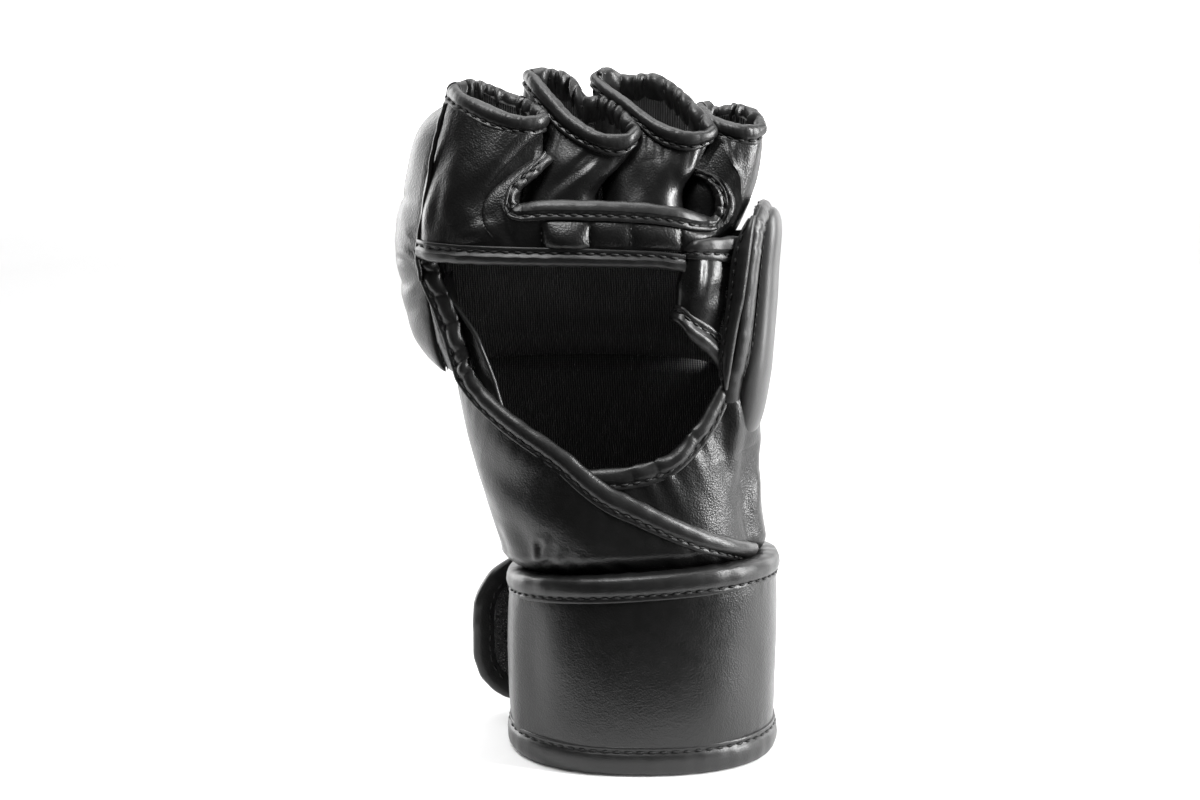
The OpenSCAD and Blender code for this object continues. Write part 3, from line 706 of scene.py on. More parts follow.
# ------------------------------------------------------------------ hand
HAND = np.array([[66, -50, 45, -36.5, 35], [74, -51, 45, -36.5, 35], [86, -55, 43, -37.5, 36.5],
                 [105, -60, 41.5, -36.5, 37.5], [120, -64, 42.5, -35.5, 38], [135, -67, 43, -34.5, 37],
                 [150, -68.5, 42, -33.5, 35], [165, -70.5, 40, -33, 33], [184, -73.5, 36, -32.5, 30]])


def hcol(z, k):
    """The hand's half sizes with rounded corners between the listed heights."""
    zs = np.asarray(z, float)
    return sum(np.interp(zs + o, HAND[:, 0], HAND[:, k]) * w for o, w in
               ((-6, 0.15), (-3, 0.2), (0, 0.3), (3, 0.2), (6, 0.15)))


def strap_top(ang):
    r = np.radians(ang)
    return STRAP_H + 3.36 * np.cos(r) - 3.9 * np.sin(r)


def hand(ang, z, d=0.0):
    ang, z, d = np.broadcast_arrays(np.asarray(ang, float), np.asarray(z, float), np.asarray(d, float))
    t = np.clip((z - strap_top(ang) - 0.2) / 7.0, 0, 1)
    s = np.sin(t * np.pi / 2) ** 0.8
    l, r = hcol(z, 1), hcol(z, 2)
    a = (1 - s) * (CA - ST - 1.2) + s * (r - l) / 2 + d
    bb = np.where(np.sin(np.radians(ang)) < 0, -hcol(z, 3), hcol(z, 4))
    b = (1 - s) * (CB - ST - 1.2) + s * bb + d
    x, y = oval(a, b, ang)
    return np.stack([s * (l + r) / 2 + x, y, z], -1)


def hand_n(ang, z):
    e = 0.6
    du = hand(ang + e, z) - hand(ang - e, z)
    dv = hand(ang, z + e) - hand(ang, z - e)
    return unit(np.cross(du, dv))


OUT_EDGE = [[187, 183], [189, 172], [194, 157], [208, 141.5], [229, 129.5], [252, 117], [271, 101.5], [299, 88], [338, 77.5]]
OUT_SEAM = [[175, 184], [173, 150], [173, 118], [174.5, 86], [176, 61], [215, 59], [255, 59], [300, 59], [338, 59]]
IN_EDGE = [[322, 143], [318.5, 138], [313.5, 133], [305.5, 125.2], [290, 114.5], [274, 110], [258, 108.5], [236, 106.5]]
IN_SEAM = [[356, 122], [355.8, 100], [355.8, 80], [335, 59], [300, 59], [265, 59], [232, 59]]
MPD = 0.85


def inset(edge, seam, t, w):
    e = along(edge, t)
    a, b = along(edge, np.maximum(0, t - 0.02)), along(edge, np.minimum(1, t + 0.02))
    run = np.stack([(b - a)[..., 0] * MPD, (b - a)[..., 1]], -1)
    side = unit(np.stack([run[..., 1], -run[..., 0]], -1))
    to = along(seam, t) - e
    sg = np.sign(side[..., 0] * to[..., 0] * MPD + side[..., 1] * to[..., 1])[..., None]
    return e + sg * np.asarray(w)[..., None] * np.stack([side[..., 0] / MPD, side[..., 1]], -1)


def flap(name, edge, seam, W, depth, pk, fold_items, seed, thick=1.8, nu=260, nv=90, roll=1.0, seen=None, period=9.0):
    t = np.linspace(0, 1, nu)
    w0 = inset(edge, seam, t, np.full(nu, W - 0.8))
    g = along(seam, t)
    rows = []
    for j in range(nv):
        f = (j / (nv - 1))
        q = w0 + (g - w0) * f
        rows.append(q)
    Q = np.array(rows)
    P = hand(Q[..., 0], Q[..., 1], -depth * (1 - smooth(334, 351, Q[..., 0])))
    N = hand_n(Q[..., 0], Q[..., 1])
    s = np.concatenate([[0], np.cumsum(np.linalg.norm(np.diff(P[0], axis=0), axis=1))])
    dist = np.linalg.norm(P - P[0][None], axis=-1)
    h = 0.55 * wob1(s, 8.0, seed, 0.1)[None] * np.exp(-dist / 6.0) * (0.35 + pk(s))[None]
    # gathers where the leather is tucked into the strap
    up = Q[..., 1] - strap_top(Q[..., 0])
    arc = Q[..., 0] * MPD
    h = h + 0.30 * wob1(arc, 11.0, seed + 5) * np.exp(-np.abs(up - 2.0) / 5.0)
    h = h + 0.35 * wob3(P, 42, seed + 6) + 0.04 * wob3(P, 12, seed + 7)
    h = h + folds(P, fold_items)
    h = h * smooth(-6, 3, up)
    Po = P + N * h[..., None]
    ob = skin(name, Po, Po - N * thick, [M_LEATHER, M_LINING], flip=True)

    def at(w):
        q = inset(edge, seam, t, np.full(nu, float(w)))
        if seen is not None:
            ze_ = along(edge, t)[:, 1]
            E_, L_ = (np.stack([np.interp(ze_, [p[2] for p in c[::-1]], [p[i] for p in c[::-1]]) for i in range(3)], 1) for c in seen)
            E_[:, 2], k_ = ze_, smooth(127, 143, ze_)[:, None]
            Lz = ze_ - smooth(0, 1, (180 - ze_) / 40) * 3.0
            L_ = np.c_[L_[:, :2], Lz]
            E_ = np.c_[E_[:, :2], ze_ + smooth(0, 1, (180 - ze_) / 40) * 2.0]
            D_ = unit(L_ - E_)
            M_ = np.tile(unit(np.array([-0.25, -0.97, 0.0])), (nu, 1))
            return hand(q[:, 0], q[:, 1], -depth) * (1 - k_) + (E_ + D_ * w) * k_, unit(hand_n(q[:, 0], q[:, 1]) * (1 - k_) + M_ * k_)
        return hand(q[:, 0], q[:, 1], -depth * (1 - smooth(334, 351, q[:, 0]))), hand_n(q[:, 0], q[:, 1])

    b = binding(name + "_binding", at, nu, W, thick, M_BIND, pucker=pk, seed=seed + 9, roll=roll, back=W - 1, period=period)
    return ob, b


def pk_outer(s):
    return 1.0 * (1 - smooth(34, 58, s)) + 0.05


def pk_inner(s):
    return 0.8 * smooth(18, 26, s) * (1 - smooth(46, 60, s)) + 0.06


# the upper end of the outer flap's binding turns towards the palm
SEEN_E = [(-72.6, -13, 184), (-71.0, -14.5, 173.3), (-66.8, -16, 163.9), (-63.6, -17.5, 154.5), (-60.6, -19, 141.3), (-54.4, -21, 130.8),
          (-40, -27, 118)]
SEEN_L = [(-78.0, -12, 184), (-77.4, -12.5, 173.0), (-75.4, -13, 162.2), (-70.1, -15, 151.6), (-67.1, -16, 144.9), (-62.4, -18.5, 132),
          (-46, -25, 114)]
fo, bo = flap("palm_flap_outer_leather", OUT_EDGE, OUT_SEAM, 8.0, 0.0, pk_outer, [
    ((-40, -30, 68), (-37.5, -31, 82), 1.5, -1.9), ((-36.5, -31, 70), (-34.5, -33, 84), 1.7, 0.9),
    ((-46, -24, 70), (-50, -20, 88), 4.5, 0.8),
    ((-28, -34, 70), (-24, -36, 80), 2.6, -0.6),
    ((-58, -16, 110), (-40, -31, 100), 6.0, -0.7),
    ((-55, -18, 100), (-20, -36, 88), 7.0, 0.6),
    ((18, -35, 76), (34, -29, 79), 2.2, -0.6),
], 71, seen=(SEEN_E, SEEN_L))
for o in (fo, *bo):
    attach(o, "glove")
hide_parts("palm_flap_outer")
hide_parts("palm_flap_outer_binding")

fi, bi = flap("palm_flap_inner_leather", IN_EDGE, IN_SEAM, 7.4, 4.2, pk_inner, [
    ((31.0, -20, 141), (32.5, -19, 104), 2.6, 0.6), ((32, -18, 140), (35, -13, 112), 7.0, 2.6),
    ((40, -12, 112), (36, -22, 96), 3.2, -0.8),
    ((41, -6, 104), (39, -12, 88), 3.0, 0.7),
    ((24, -30, 112), (34, -26, 92), 5.0, 0.5),
], 91, roll=0.9)
THB = ("glove", "thumb", (38, -10, 116), (38, -10, 148))
blend_all([fi, *bi], *THB)
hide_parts("palm_flap_inner")
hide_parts("palm_flap_inner_binding")

# leather from the front edge of the knuckle pad to the flap's binding, drawn into small creases
zg = np.linspace(186, 140.5, 120)
Ag = np.stack([np.interp(zg, [138, 150, 175, 186], [-68.5, -73, -76.6, -76.8]), np.interp(zg, [138, 150, 175, 186], [-7.5, -9, -11.2, -12.4]), zg], 1)
Bg = np.stack([np.interp(zg, [p[2] for p in SEEN_L[::-1]], [p[i] for p in SEEN_L[::-1]]) for i in range(3)], 1)
Bg[:, 2] = zg - 1.5
Bg = Bg + np.array([3.2, 0.9, 0])
wq = np.linspace(0, 1, 26)
G = np.stack([Ag + (Bg - Ag) * w_ for w_ in wq], 0)
N = np.tile(unit(np.array([-0.35, -0.93, 0.0])), G.shape[:2] + (1,))
cre = gather(120, 13, 303, False)[None] * wq[:, None] ** 1.5
G = G + N * (1.9 * np.sin(np.pi * wq)[:, None] ** 0.8 + 0.9 * (cre - 0.4) * (1 - wq[:, None] * 0.5))[..., None]
gg = skin("palm_edge_gusset_leather", G, G - N * 1.4, [M_LEATHER, M_LINING])
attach(gg, "glove")

# turned-in facing behind the outer flap's edge
t = np.linspace(0.10, 0.47, 150)
FREE = [[-70.6, 166], [-66.5, 162.5], [-62.9, 158], [-57.8, 148.5], [-54.2, 139.5], [-52.2, 132.5], [-50.4, 128]]
fe = along(FREE, np.linspace(0, 1, 150))
q0 = inset(OUT_EDGE, OUT_SEAM, t, np.full(150, 5.0))
A0, A1 = hand(q0[:, 0], q0[:, 1], -2.9), np.c_[fe[:, 0], np.interp(fe[:, 1], [128, 150, 166], [-22, -20, -14]), fe[:, 1]]
Na = hand_n(q0[:, 0], q0[:, 1])
rows, nrm = [], []
for j in range(16):
    f = j / 15
    rows.append(A0 + (A1 - A0) * f + Na * (1.4 * math.sin(math.pi * f) - 0.8 * f))
    nrm.append(Na)
G, N = np.array(rows), np.array(nrm)
s = np.concatenate([[0], np.cumsum(np.linalg.norm(np.diff(G[-1], axis=0), axis=1))])
G = G + N * (0.30 * wob1(s, 14, 101)[None] * np.linspace(0, 1, 16)[:, None] ** 1.5)[..., None]
fac = skin("palm_flap_facing", G, G - N * 1.5, [M_LEATHER, M_LEATHER])
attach(fac, "glove")
v, f = tube(G[-1] - N[-1] * 0.75, 0.95, 10, N=N[-1])
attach(make("palm_flap_facing_edge", v, f, M_BIND, 80), "glove")

# back of the hand: padded leather outside, lining inside
BACK = [[59, -8], [117, -8], [124, 14], [135, 20], [150, 24]]


def back_sheet(d0, zt, seed, amp):
    nz, na = 90, 150
    z = np.linspace(59, zt, nz)[:, None] + np.zeros(na)[None]
    a0 = np.interp(z, np.array(BACK)[:, 0], np.array(BACK)[:, 1])
    a = a0 + (176.6 - a0) * np.linspace(0, 1, na)[None]
    up = z - strap_top(a)
    thin = np.maximum(0.3, np.maximum(0, np.sin(np.radians(a))) ** 1.5) * np.minimum(1, 0.3 + 0.7 * np.maximum(0, up) / 12)
    P = hand(a, z, -d0 * thin - 2.2 * (1 - smooth(-8, 3, a)) - 2.2 * smooth(168, 175, a))
    return P, hand_n(a, z), up, a, z


P, N, up, a, z = back_sheet(0.0, 138.0, 111, 0)
h = 0.5 * wob3(P, 36, 112) + 0.7 * wob1(a * 0.8, 9.5, 113) * np.exp(-np.abs(up - 2) / 6)
for zc in (86.0, 101.0, 116.0):
    h = h - 1.1 * np.exp(-((z - zc) / 1.5) ** 2) * smooth(20, 34, a) * (1 - smooth(150, 166, a))
    h = h + 0.5 * np.exp(-((np.abs(z - zc) - 5) / 3.5) ** 2) * smooth(20, 34, a) * (1 - smooth(150, 166, a))
h = h * smooth(-6, 3, up)
Po = P + N * h[..., None]
Pi, _, _, _, _ = back_sheet(7.0, 138.0, 0, 0)
bh = skin("back_hand_leather", Po, Pi, [M_LEATHER, M_LINING])
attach(bh, "glove")
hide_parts("back_hand_shell", "back_hand_foam")
rowst = []
for zc in (86.0, 101.0, 116.0):
    aa = np.linspace(26, 158, 120)
    Pq = hand(aa, np.full(120, zc), -0.75)
    rowst += stitches(Pq, hand_n(aa, np.full(120, zc)), 4.2, seed=int(zc))
v, f = join(rowst)
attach(make("back_hand_channel_stitches", v, f, M_THREAD, 80), "glove")
P, N, up, a, z = back_sheet(7.2, 141.0, 0, 0)
bul = 7.0 * smooth(80, 128, z) * (1 - smooth(133.5, 139.5, z)) * np.sin(np.radians(np.clip(a, 0, 180))) ** 0.8
G = P - N * (bul + 0.35 * wob3(P, 26, 121))[..., None]
Hh, _, _, _, _ = back_sheet(7.0, 141.0, 0, 0)
# its palm-side face uses the lighter lining colour, painted light inside the hollow
bl = skin("back_hand_inner_lining", G, Hh + N * 0.0, [M_PALM_LINING_PAINTED_LIGHT, M_LINING], flip=True)
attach(bl, "glove")
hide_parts("back_hand_lining")

# ------------------------------------------------------------------ knuckle pad
PAD_Z = [138.5, 150, 175, 200, 222, 232]
PAD_OUT = [
    [[28, 10], [25, 22], [8, 34], [-22, 38], [-55, 33], [-70, 20], [-74, 6], [-71, -7]],
    [[29, 8], [26, 25], [8, 39], [-24, 43], [-60, 37], [-78, 24], [-82, 6], [-74, -9]],
    [[28, 7], [26, 25], [8, 41], [-25, 46], [-62, 40], [-83, 26], [-87, 6], [-77, -11]],
    [[32, 8], [30, 24], [8, 38], [-24, 43], [-60, 37], [-81, 22], [-85, 3], [-76.5, -13]],
    [[38, 5.5], [35, 20], [14, 30], [-20, 34], [-55, 28], [-75, 15], [-79, -1], [-71.5, -13]],
    [[37, 6], [33.5, 14.5], [16, 21], [-16, 24], [-48, 20], [-67, 9], [-71, -3], [-68, -11]]]
PAD_IN = [
    [[26, 9], [20, 16], [6, 24], [-20, 27], [-45, 24], [-62, 14], [-69, 4], [-69.5, -6]],
    [[27, 7], [21, 14], [6, 21], [-20, 23], [-46, 20], [-65, 11], [-73, 2], [-72.5, -8]],
    [[26, 6], [20, 12], [6, 18], [-20, 20], [-48, 17], [-67, 10], [-76, 0], [-75.5, -10]],
    [[30.5, 7], [24, 11.5], [8, 16], [-18, 18], [-46, 15.5], [-65, 8], [-75, -2], [-75, -12]],
    [[36.5, 5], [31, 10], [14, 14], [-14, 15], [-42, 12], [-61, 5.5], [-70, -4], [-70, -12]],
    [[35.5, 5.5], [31, 9.5], [15, 12.5], [-15, 14], [-43, 11], [-61.5, 5], [-68.3, -4], [-67, -10.5]]]


def pad_face(plans, nu=170, nv=130):
    t = np.linspace(0, 1, nv)
    rows = along(np.asarray(plans, float).reshape(6, -1), t).reshape(nv, 8, 2)
    zr = along(np.asarray(PAD_Z, float), t)[:, 0]
    u = np.linspace(0, 1, nu)
    out = np.zeros((nv, nu, 3))
    for j in range(nv):
        out[j, :, :2] = along(rows[j], u)
        out[j, :, 2] = zr[j]
    return out


po, pi = pad_face(PAD_OUT), pad_face(PAD_IN)
for face_ in (po, pi):
    face_[..., 2] -= 6.5 * smooth(6, 32, face_[..., 0]) * smooth(204, 232, face_[..., 2])
nv, nu = po.shape[:2]
tt, uu = np.linspace(0, 1, nv)[:, None], np.linspace(0, 1, nu)[None]


def round_end(x, w):
    e = np.clip(np.minimum(x, 1 - x) / w, 0, 1)
    return np.sqrt(1 - (1 - e) ** 2)


R = round_end(tt, 0.085) * round_end(uu, 0.045)
seam_at = 0.28
sm = pi + (po - pi) * seam_at
O = sm + (po - sm) * R[..., None]
I = sm + (pi - sm) * R[..., None]
No = normals(po, sign=-1.0)
if (No[nv // 2, nu // 2, 1]) < 0:
    No = -No
zz = O[..., 2]
side = smooth(0.02, 0.12, uu) * (1 - 0.75 * smooth(0.62, 0.78, uu)) * (1 - smooth(0.86, 0.97, uu))
h = 0.5 * wob3(O, 46, 131)
for zc, wd in ((170.0, 2.0), (200.0, 1.8)):
    h = h - 1.9 * np.exp(-((zz - zc - 1.2 * np.sin(uu * 5)) / wd) ** 2) * side
    h = h + 0.7 * np.exp(-((np.abs(zz - zc) - 5.5) / 3.2) ** 2) * side
h = h + folds(O, [
    ((-86, 12, 191), (-79, -8, 187), 1.3, -0.9), ((-86, 10, 184), (-79, -9, 181), 1.2, -0.8),
    ((-87, 6, 178), (-79, -9, 177), 1.3, -0.7), ((-85, 14, 160), (-77, -8, 168), 1.8, -0.8),
    ((-80, 10, 150), (-74, -7, 160), 2.2, -0.6)])
O = O + No * (h * R)[..., None]
pad = skin("knuckle_pad", O, I, [M_LEATHER, M_LINING])
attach(pad, "glove")
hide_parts("knuckle_pad_shell", "knuckle_pad_foam")
# lining of the hand cavity, a little clear of the pad's inner face, with its soft upper bulge
Nn = -No
bulge = 0.0
L = pi + Nn * 0.3
zz = L[..., 2]
mid = np.sin(np.pi * uu) ** 0.7
h = 7.0 * smooth(138.5, 146, zz) * (1 - smooth(150, 187, zz)) * mid + 0.35 * wob3(L, 24, 141)
h = h + folds(L, [((-70, 4, 150), (-30, 24, 143), 2.5, -1.0), ((-20, 22, 143), (20, 14, 146), 2.5, 0.9)])
Lf = L + Nn * h[..., None]
# both faces use the lighter lining colour, painted light inside the dark hollow
ln = skin("hand_lining", Lf[:, 3:-3], L[:, 3:-3], [M_PALM_LINING_PAINTED_LIGHT, M_PALM_LINING_PAINTED_LIGHT], flip=True)
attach(ln, "glove")
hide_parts("knuckle_pad_lining")

# ------------------------------------------------------------------ finger rings
FINGERS = {
    "pinky": [[-58.8, -13.5], [-50.2, -11, 232], [12.6, 11.5], [17.6, 8.8], -12, -30, [-.28, .22]],
    "ring": [[-31, -8.5], [-21.5, -8, 235], [13, 9.4], [20, 8.8], -21, -34, [-.33, .35]],
    "middle": [[-3, -6], [3.8, -4.3, 233.5], [12.2, 9.2], [20.6, 8.8], -21, -36, [-.3, .4]],
    "index": [[21, -4.8], [28, -1, 229], [10, 9.4], [16.6, 8.6], -18, -38, [-.2, .25]]}
FOOT = {  # centre, half sizes and turn of each stall's foot, behind the palm bar
    "pinky": [[-57.0, -15.0], [20.0, 11.0], -14], "ring": [[-30.5, -14.5], [15.8, 12.2], -8],
    "middle": [[0.5, -15.5], [15.8, 11.8], 2], "index": [[21.5, -8.5], [9.6, 9.8], -28]}


def ring_pts(f, v, d, q):
    b, t = f[0], f[1]
    v = np.asarray(v, float)
    cx, cy, cz = b[0] + (t[0] - b[0]) * v, b[1] + (t[1] - b[1]) * v, 201 + (t[2] - 201) * v
    h0, h1 = f[2][0] + (f[3][0] - f[2][0]) * v + d, f[2][1] + (f[3][1] - f[2][1]) * v + d
    turn = np.radians(f[4] + (f[5] - f[4]) * v)
    px, py = h0 * np.cos(q), h1 * np.sin(q)
    x, y = px * np.cos(turn) - py * np.sin(turn), px * np.sin(turn) + py * np.cos(turn)
    z = cz + v * (f[6][0] * x + f[6][1] * y)
    return np.stack(np.broadcast_arrays(cx + x, cy + y, z), -1)


def foot_pts(name, z, d, q, ex=2.6):
    c, h, turn = FOOT[name]
    r = math.radians(turn)
    k = 2 / ex
    px = (h[0] + d) * np.sign(np.cos(q)) * np.abs(np.cos(q)) ** k
    py = (h[1] + d) * np.sign(np.sin(q)) * np.abs(np.sin(q)) ** k
    x, y = px * math.cos(r) - py * math.sin(r), px * math.sin(r) + py * math.cos(r)
    return np.stack(np.broadcast_arrays(c[0] + x, c[1] + y, np.full_like(q, z)), -1)


# Each rim: its free edge from the left tip along the front to the right tip, the free edge behind, and the sewn lip in front.
RIMC = {
    "pinky": ([[-65.5, -5, 239.5], [-62.5, -13, 237], [-55.5, -18.5, 234.5], [-45, -22.5, 230.5], [-36, -21.5, 229.5], [-33.5, -17.5, 230.5]],
              [[-38.5, -8.5, 234], [-47, -2.5, 236.5], [-55, 0.5, 239.5], [-62, 0, 240.5]],
              [[-69, -7, 233.5], [-62.5, -16.5, 230], [-53, -21.5, 225.5], [-41, -22, 223], [-34, -16, 224]]),
    "ring": ([[-40.5, 1.5, 244], [-37.5, -5, 242], [-32, -11, 236.5], [-25, -16.5, 229.5], [-15, -21, 224], [-5.5, -20.5, 223.5],
              [-2.5, -16.5, 226]],
             [[-7, -8.5, 231.5], [-14, -2, 235], [-20.5, 0.5, 235], [-24.5, 3.5, 241], [-32.5, 5, 244]],
             [[-42.5, 0, 239], [-37.5, -8.5, 232.5], [-29, -15.5, 224], [-19, -20, 218.5], [-9, -19.5, 216], [-3, -15, 219.5]]),
    "middle": ([[-17.5, 5, 242.5], [-14, -0.5, 239.5], [-6, -8, 234.5], [2.5, -14, 228.5], [12.5, -18, 224.5], [21.5, -16, 224],
                [24.5, -13, 225.5]],
               [[18.5, -5.5, 232], [11, 1.5, 238.5], [4, 6, 242], [-6, 9.5, 241.5], [-14, 8, 244]],
               [[-19, 2.5, 238], [-12.5, -4.5, 232.5], [-4, -11.5, 227], [5, -16, 220], [15, -17, 217.5], [23, -12, 220]]),
    "index": ([[18.5, 3, 232.5], [20.5, -6, 230], [27, -11, 227.5], [34, -13, 226], [41.5, -8.5, 226]],
              [[39, 1, 230], [32.5, 6.5, 231.5], [25.5, 10, 230.5], [21.5, 8.5, 231.5]],
              [[18.5, -3, 226], [24, -10.5, 222], [31, -13, 219.5], [37.5, -12, 219], [40, -8.5, 220.5]])}


def even(P, n, smooth_=2):
    """n + 1 points evenly along a smooth open curve."""
    C = along(P, np.linspace(0, 1, 500))
    d = np.concatenate([[0], np.cumsum(np.linalg.norm(np.diff(C, axis=0), axis=1))])
    q_ = np.linspace(0, d[-1], n + 1)
    return np.stack([np.interp(q_, d, C[:, i]) for i in range(C.shape[1])], 1)


def soften(P, k):
    for _ in range(k):
        P = 0.25 * np.roll(P, 1, 0) + 0.5 * P + 0.25 * np.roll(P, -1, 0)
    return P


def rim_rings(nm, n=420):
    E, back, L = RIMC[nm]
    h_ = n // 2
    front, back = even(E, h_), even([E[-1]] + back + [E[0]], h_)
    Er = soften(np.concatenate([front[:-1], back[:-1]]), 5)
    lf = even(L, h_)
    sh0, sh1 = lf[-1] - back[0], lf[0] - back[-1]
    k_ = np.linspace(0, 1, h_ + 1)[:, None]
    drop = sh0 * (1 - smooth(0, 0.22, k_)) + sh1 * smooth(0.78, 1, k_)
    mid_ = smooth(0, 0.22, k_) * (1 - smooth(0.78, 1, k_))
    lb = back + drop + mid_ * np.array([0.0, 0.0, -7.2])
    Lr = soften(np.concatenate([lf[:-1], lb[:-1]]), 14)
    T_ = unit(np.roll(Er, -3, 0) - np.roll(Er, 3, 0))
    D_ = Lr - Er
    D_ = D_ - T_ * np.einsum("ij,ij->i", D_, T_)[:, None] * 0.0
    Wn = np.linalg.norm(D_, axis=1)
    Nr = unit(np.cross(T_, D_))
    if np.mean(np.einsum("ij,ij->i", Nr, Er - Er.mean(0))) < 0:
        Nr = -Nr
    Nr = unit(soften(Nr, 10))
    return Er, Lr, Nr, Wn


RINGS = {nm: rim_rings(nm) for nm in FINGERS}


def stall_grid(name, d, m=70, z_foot=186.5):
    Er, Lr, Nr, Wn = RINGS[name]
    Er, Lr, Nr = Er[::2], Lr[::2], Nr[::2]
    n = len(Er)
    q = np.pi + 2 * np.pi * np.arange(n) / n
    A = foot_pts(name, z_foot, d, q)
    B = 0.55 * foot_pts(name, 201, d, q) + 0.45 * ring_pts(FINGERS[name], 0.0, d, q)
    B[:, 2] = 202
    D = Lr + Nr * (d - 0.5)
    C = 0.42 * B + 0.58 * D
    Cc = C.mean(0)
    C = Cc + (C - Cc) * np.array([1.03, 1.06, 1.0])
    Eh = 0.45 * Lr + 0.55 * Er + Nr * (d - 1.3)
    G = along(np.stack([A, B, C, D, Eh]).reshape(5, -1), np.linspace(0, 1, m)).reshape(m, n, 3)
    return G, q


STALL_FOLDS = {
    "pinky": [],
    "ring": [((-41, -28, 199), (-16, -22, 219), 1.5, 1.9), ((-44, -24, 205), (-28, -24, 222), 3.4, -1.0),
             ((-34, -28, 197), (-12, -26, 211), 2.8, -1.1), ((-13, -27, 198), (-5, -22, 216), 2.2, 0.9)],
    "middle": [((14.0, -27, 196), (7.4, -22, 220), 1.25, 2.0), ((9, -28, 197), (1, -22, 216), 2.6, -1.0),
               ((-11, -28, 198), (5, -22, 219), 2.4, 1.1), ((-5, -28, 198), (1, -26, 210), 2.2, -0.7),
               ((20, -22, 197), (15, -20, 216), 2.4, -1.0)],
    "index": []}
for k, (nm, f) in enumerate(FINGERS.items()):
    G, q = stall_grid(nm, 0.0 if nm in ("ring", "middle") else -1.2)
    N = normals(G, closed=True)
    c = G.mean(axis=(0, 1))
    if np.mean(np.einsum("ijk,ijk->ij", N, G - c)) < 0:
        N = -N
    h = 0.30 * wob3(G, 24, 150 + k) + 0.04 * wob3(G, 8, 160 + k) + folds(G, STALL_FOLDS[nm])
    # small tension lines below the rim's seam
    rel = np.linspace(0, 1, G.shape[0])[:, None]
    near = smooth(0.45, 0.76, rel) * (1 - smooth(0.8, 0.9, rel))
    h = h - 0.42 * (1 - gather(G.shape[1], 26, 170 + k))[None] * near
    O = G + N * h[..., None]
    I = O - N * 1.5
    # the stall insides use the near-black lining, painted shade inside the finger openings
    st = skin(nm + "_stall_leather", O, I, [M_GLOSS if nm in ("ring", "middle") else M_LEATHER, M_INNER_PAINTED_SHADE], closed=True)
    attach(st, "glove")
    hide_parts(nm + "_stall", nm + "_lining")

# ------------------------------------------------------------------ rim bindings, gathered inside
RIM_PK = {"pinky": (1.7, 5, 20), "ring": (1.9, 16, 22), "middle": (1.3, 7, 20), "index": (1.7, 28, 18)}


def rim(nm):
    amp, seed, count = RIM_PK[nm]
    E, L, N, W = RINGS[nm]
    n = len(E)
    s_ = np.arange(n) / n
    back = smooth(0.47, 0.56, s_) * (1 - smooth(0.94, 1.0, s_))
    g_in = gather(n, count, seed)
    g_out = gather(n, int(count * 1.5), seed + 50)
    slow = sum(np.sin(2 * np.pi * (k_ * s_ + ph_)) for k_, ph_ in ((3, .2), (5, .55), (8, .9))) / 3
    # share of the way from free edge to lip, height out of the surface, inside share, outside share
    prof = [(1.0, -0.6, 0, 0), (1.0, 0.30, 0, 0), (0.965, 0.55, 0, 0), (0.88, 0.60, 0, 0), (0.82, 0.46, 0, 0), (0.775, 0.10, 0, 0),
            (0.72, 0.16, 0, .1), (0.66, 0.80, 0, .4), (0.54, 1.20, 0, .7), (0.40, 1.38, 0, .9), (0.25, 1.25, 0, 1.0),
            (0.12, 0.9, .1, 1.0), (0.03, 0.35, .4, .8), (-0.02, -0.45, .8, .3), (0.0, -1.4, 1.0, 0), (0.10, -2.2, 1.1, 0),
            (0.25, -2.9, 1.3, 0), (0.45, -3.1, 1.4, 0), (0.7, -3.0, 1.1, 0), (0.95, -2.7, .7, 0), (1.2, -2.3, .35, 0),
            (1.4, -1.9, .1, 0), (1.4, -1.2, 0, 0)]
    D = L - E
    Du = unit(D)
    rows = []
    for w_, hh, pi_, po_ in prof:
        a_in = amp * pi_ * (0.15 + 1.25 * back)
        a_out = 0.12 * po_ * (1 + 4.0 * back)
        dn = hh - a_in * (g_in - 0.35) + a_out * (g_out - 0.5) + 0.12 * slow * (pi_ + po_)
        up_ = (0.55 * pi_ * amp * (0.35 + 0.9 * back) * (g_in - 0.4) + (0.15 + 0.4 * back) * po_ * (g_out - 0.5)) * (1 - np.clip(w_, 0, 1))
        rows.append(E + D * w_ - Du * up_[:, None] + N * dn[:, None])
    V = np.stack(rows, 1)
    ob = make(nm + "_rim_binding", V.reshape(-1, 3), ring_faces(n, V.shape[1], True), M_BIND, 75)
    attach(ob, "glove")
    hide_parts(nm + "_rim")
    P = E + D * 0.765 + N * 0.42
    v, fc = join(stitches(np.concatenate([P, P[:1]]), np.concatenate([N, N[:1]]), 3.9, 2.6, 0.42, seed=seed, s0=0))
    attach(make(nm + "_rim_stitches", v, fc, M_THREAD, 80), "glove")


for nm in FINGERS:
    rim(nm)
# where each binding's ends are joined
for nm, i0 in (("middle", 405), ("pinky", 415), ("ring", 300)):
    E, L, N, W = RINGS[nm]
    pr = [(0.9, 0.75), (0.65, 1.1), (0.4, 1.75), (0.15, 1.4), (-0.04, -0.2), (0.15, -2.2), (0.5, -2.9)]
    P = np.array([E[i0] + (L[i0] - E[i0]) * w_ + N[i0] * hh for w_, hh in pr])
    P = along(P, np.linspace(0, 1, 30))
    v, fc = tube(P, 0.5, 8, N=np.repeat(N[i0][None], 30, 0))
    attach(make(nm + "_rim_join", v, fc, M_BIND, 80), "glove")

# ------------------------------------------------------------------ palm bar with the two outer stalls, one sheet
BAR = [[-78, -15.4], [-73.5, -22.5], [-61, -28.5], [-40, -32.5], [-15, -33.5], [6, -32], [17, -28.5], [25, -22], [29.5, -14]]


def bar_xy(u):
    return along(BAR, u)


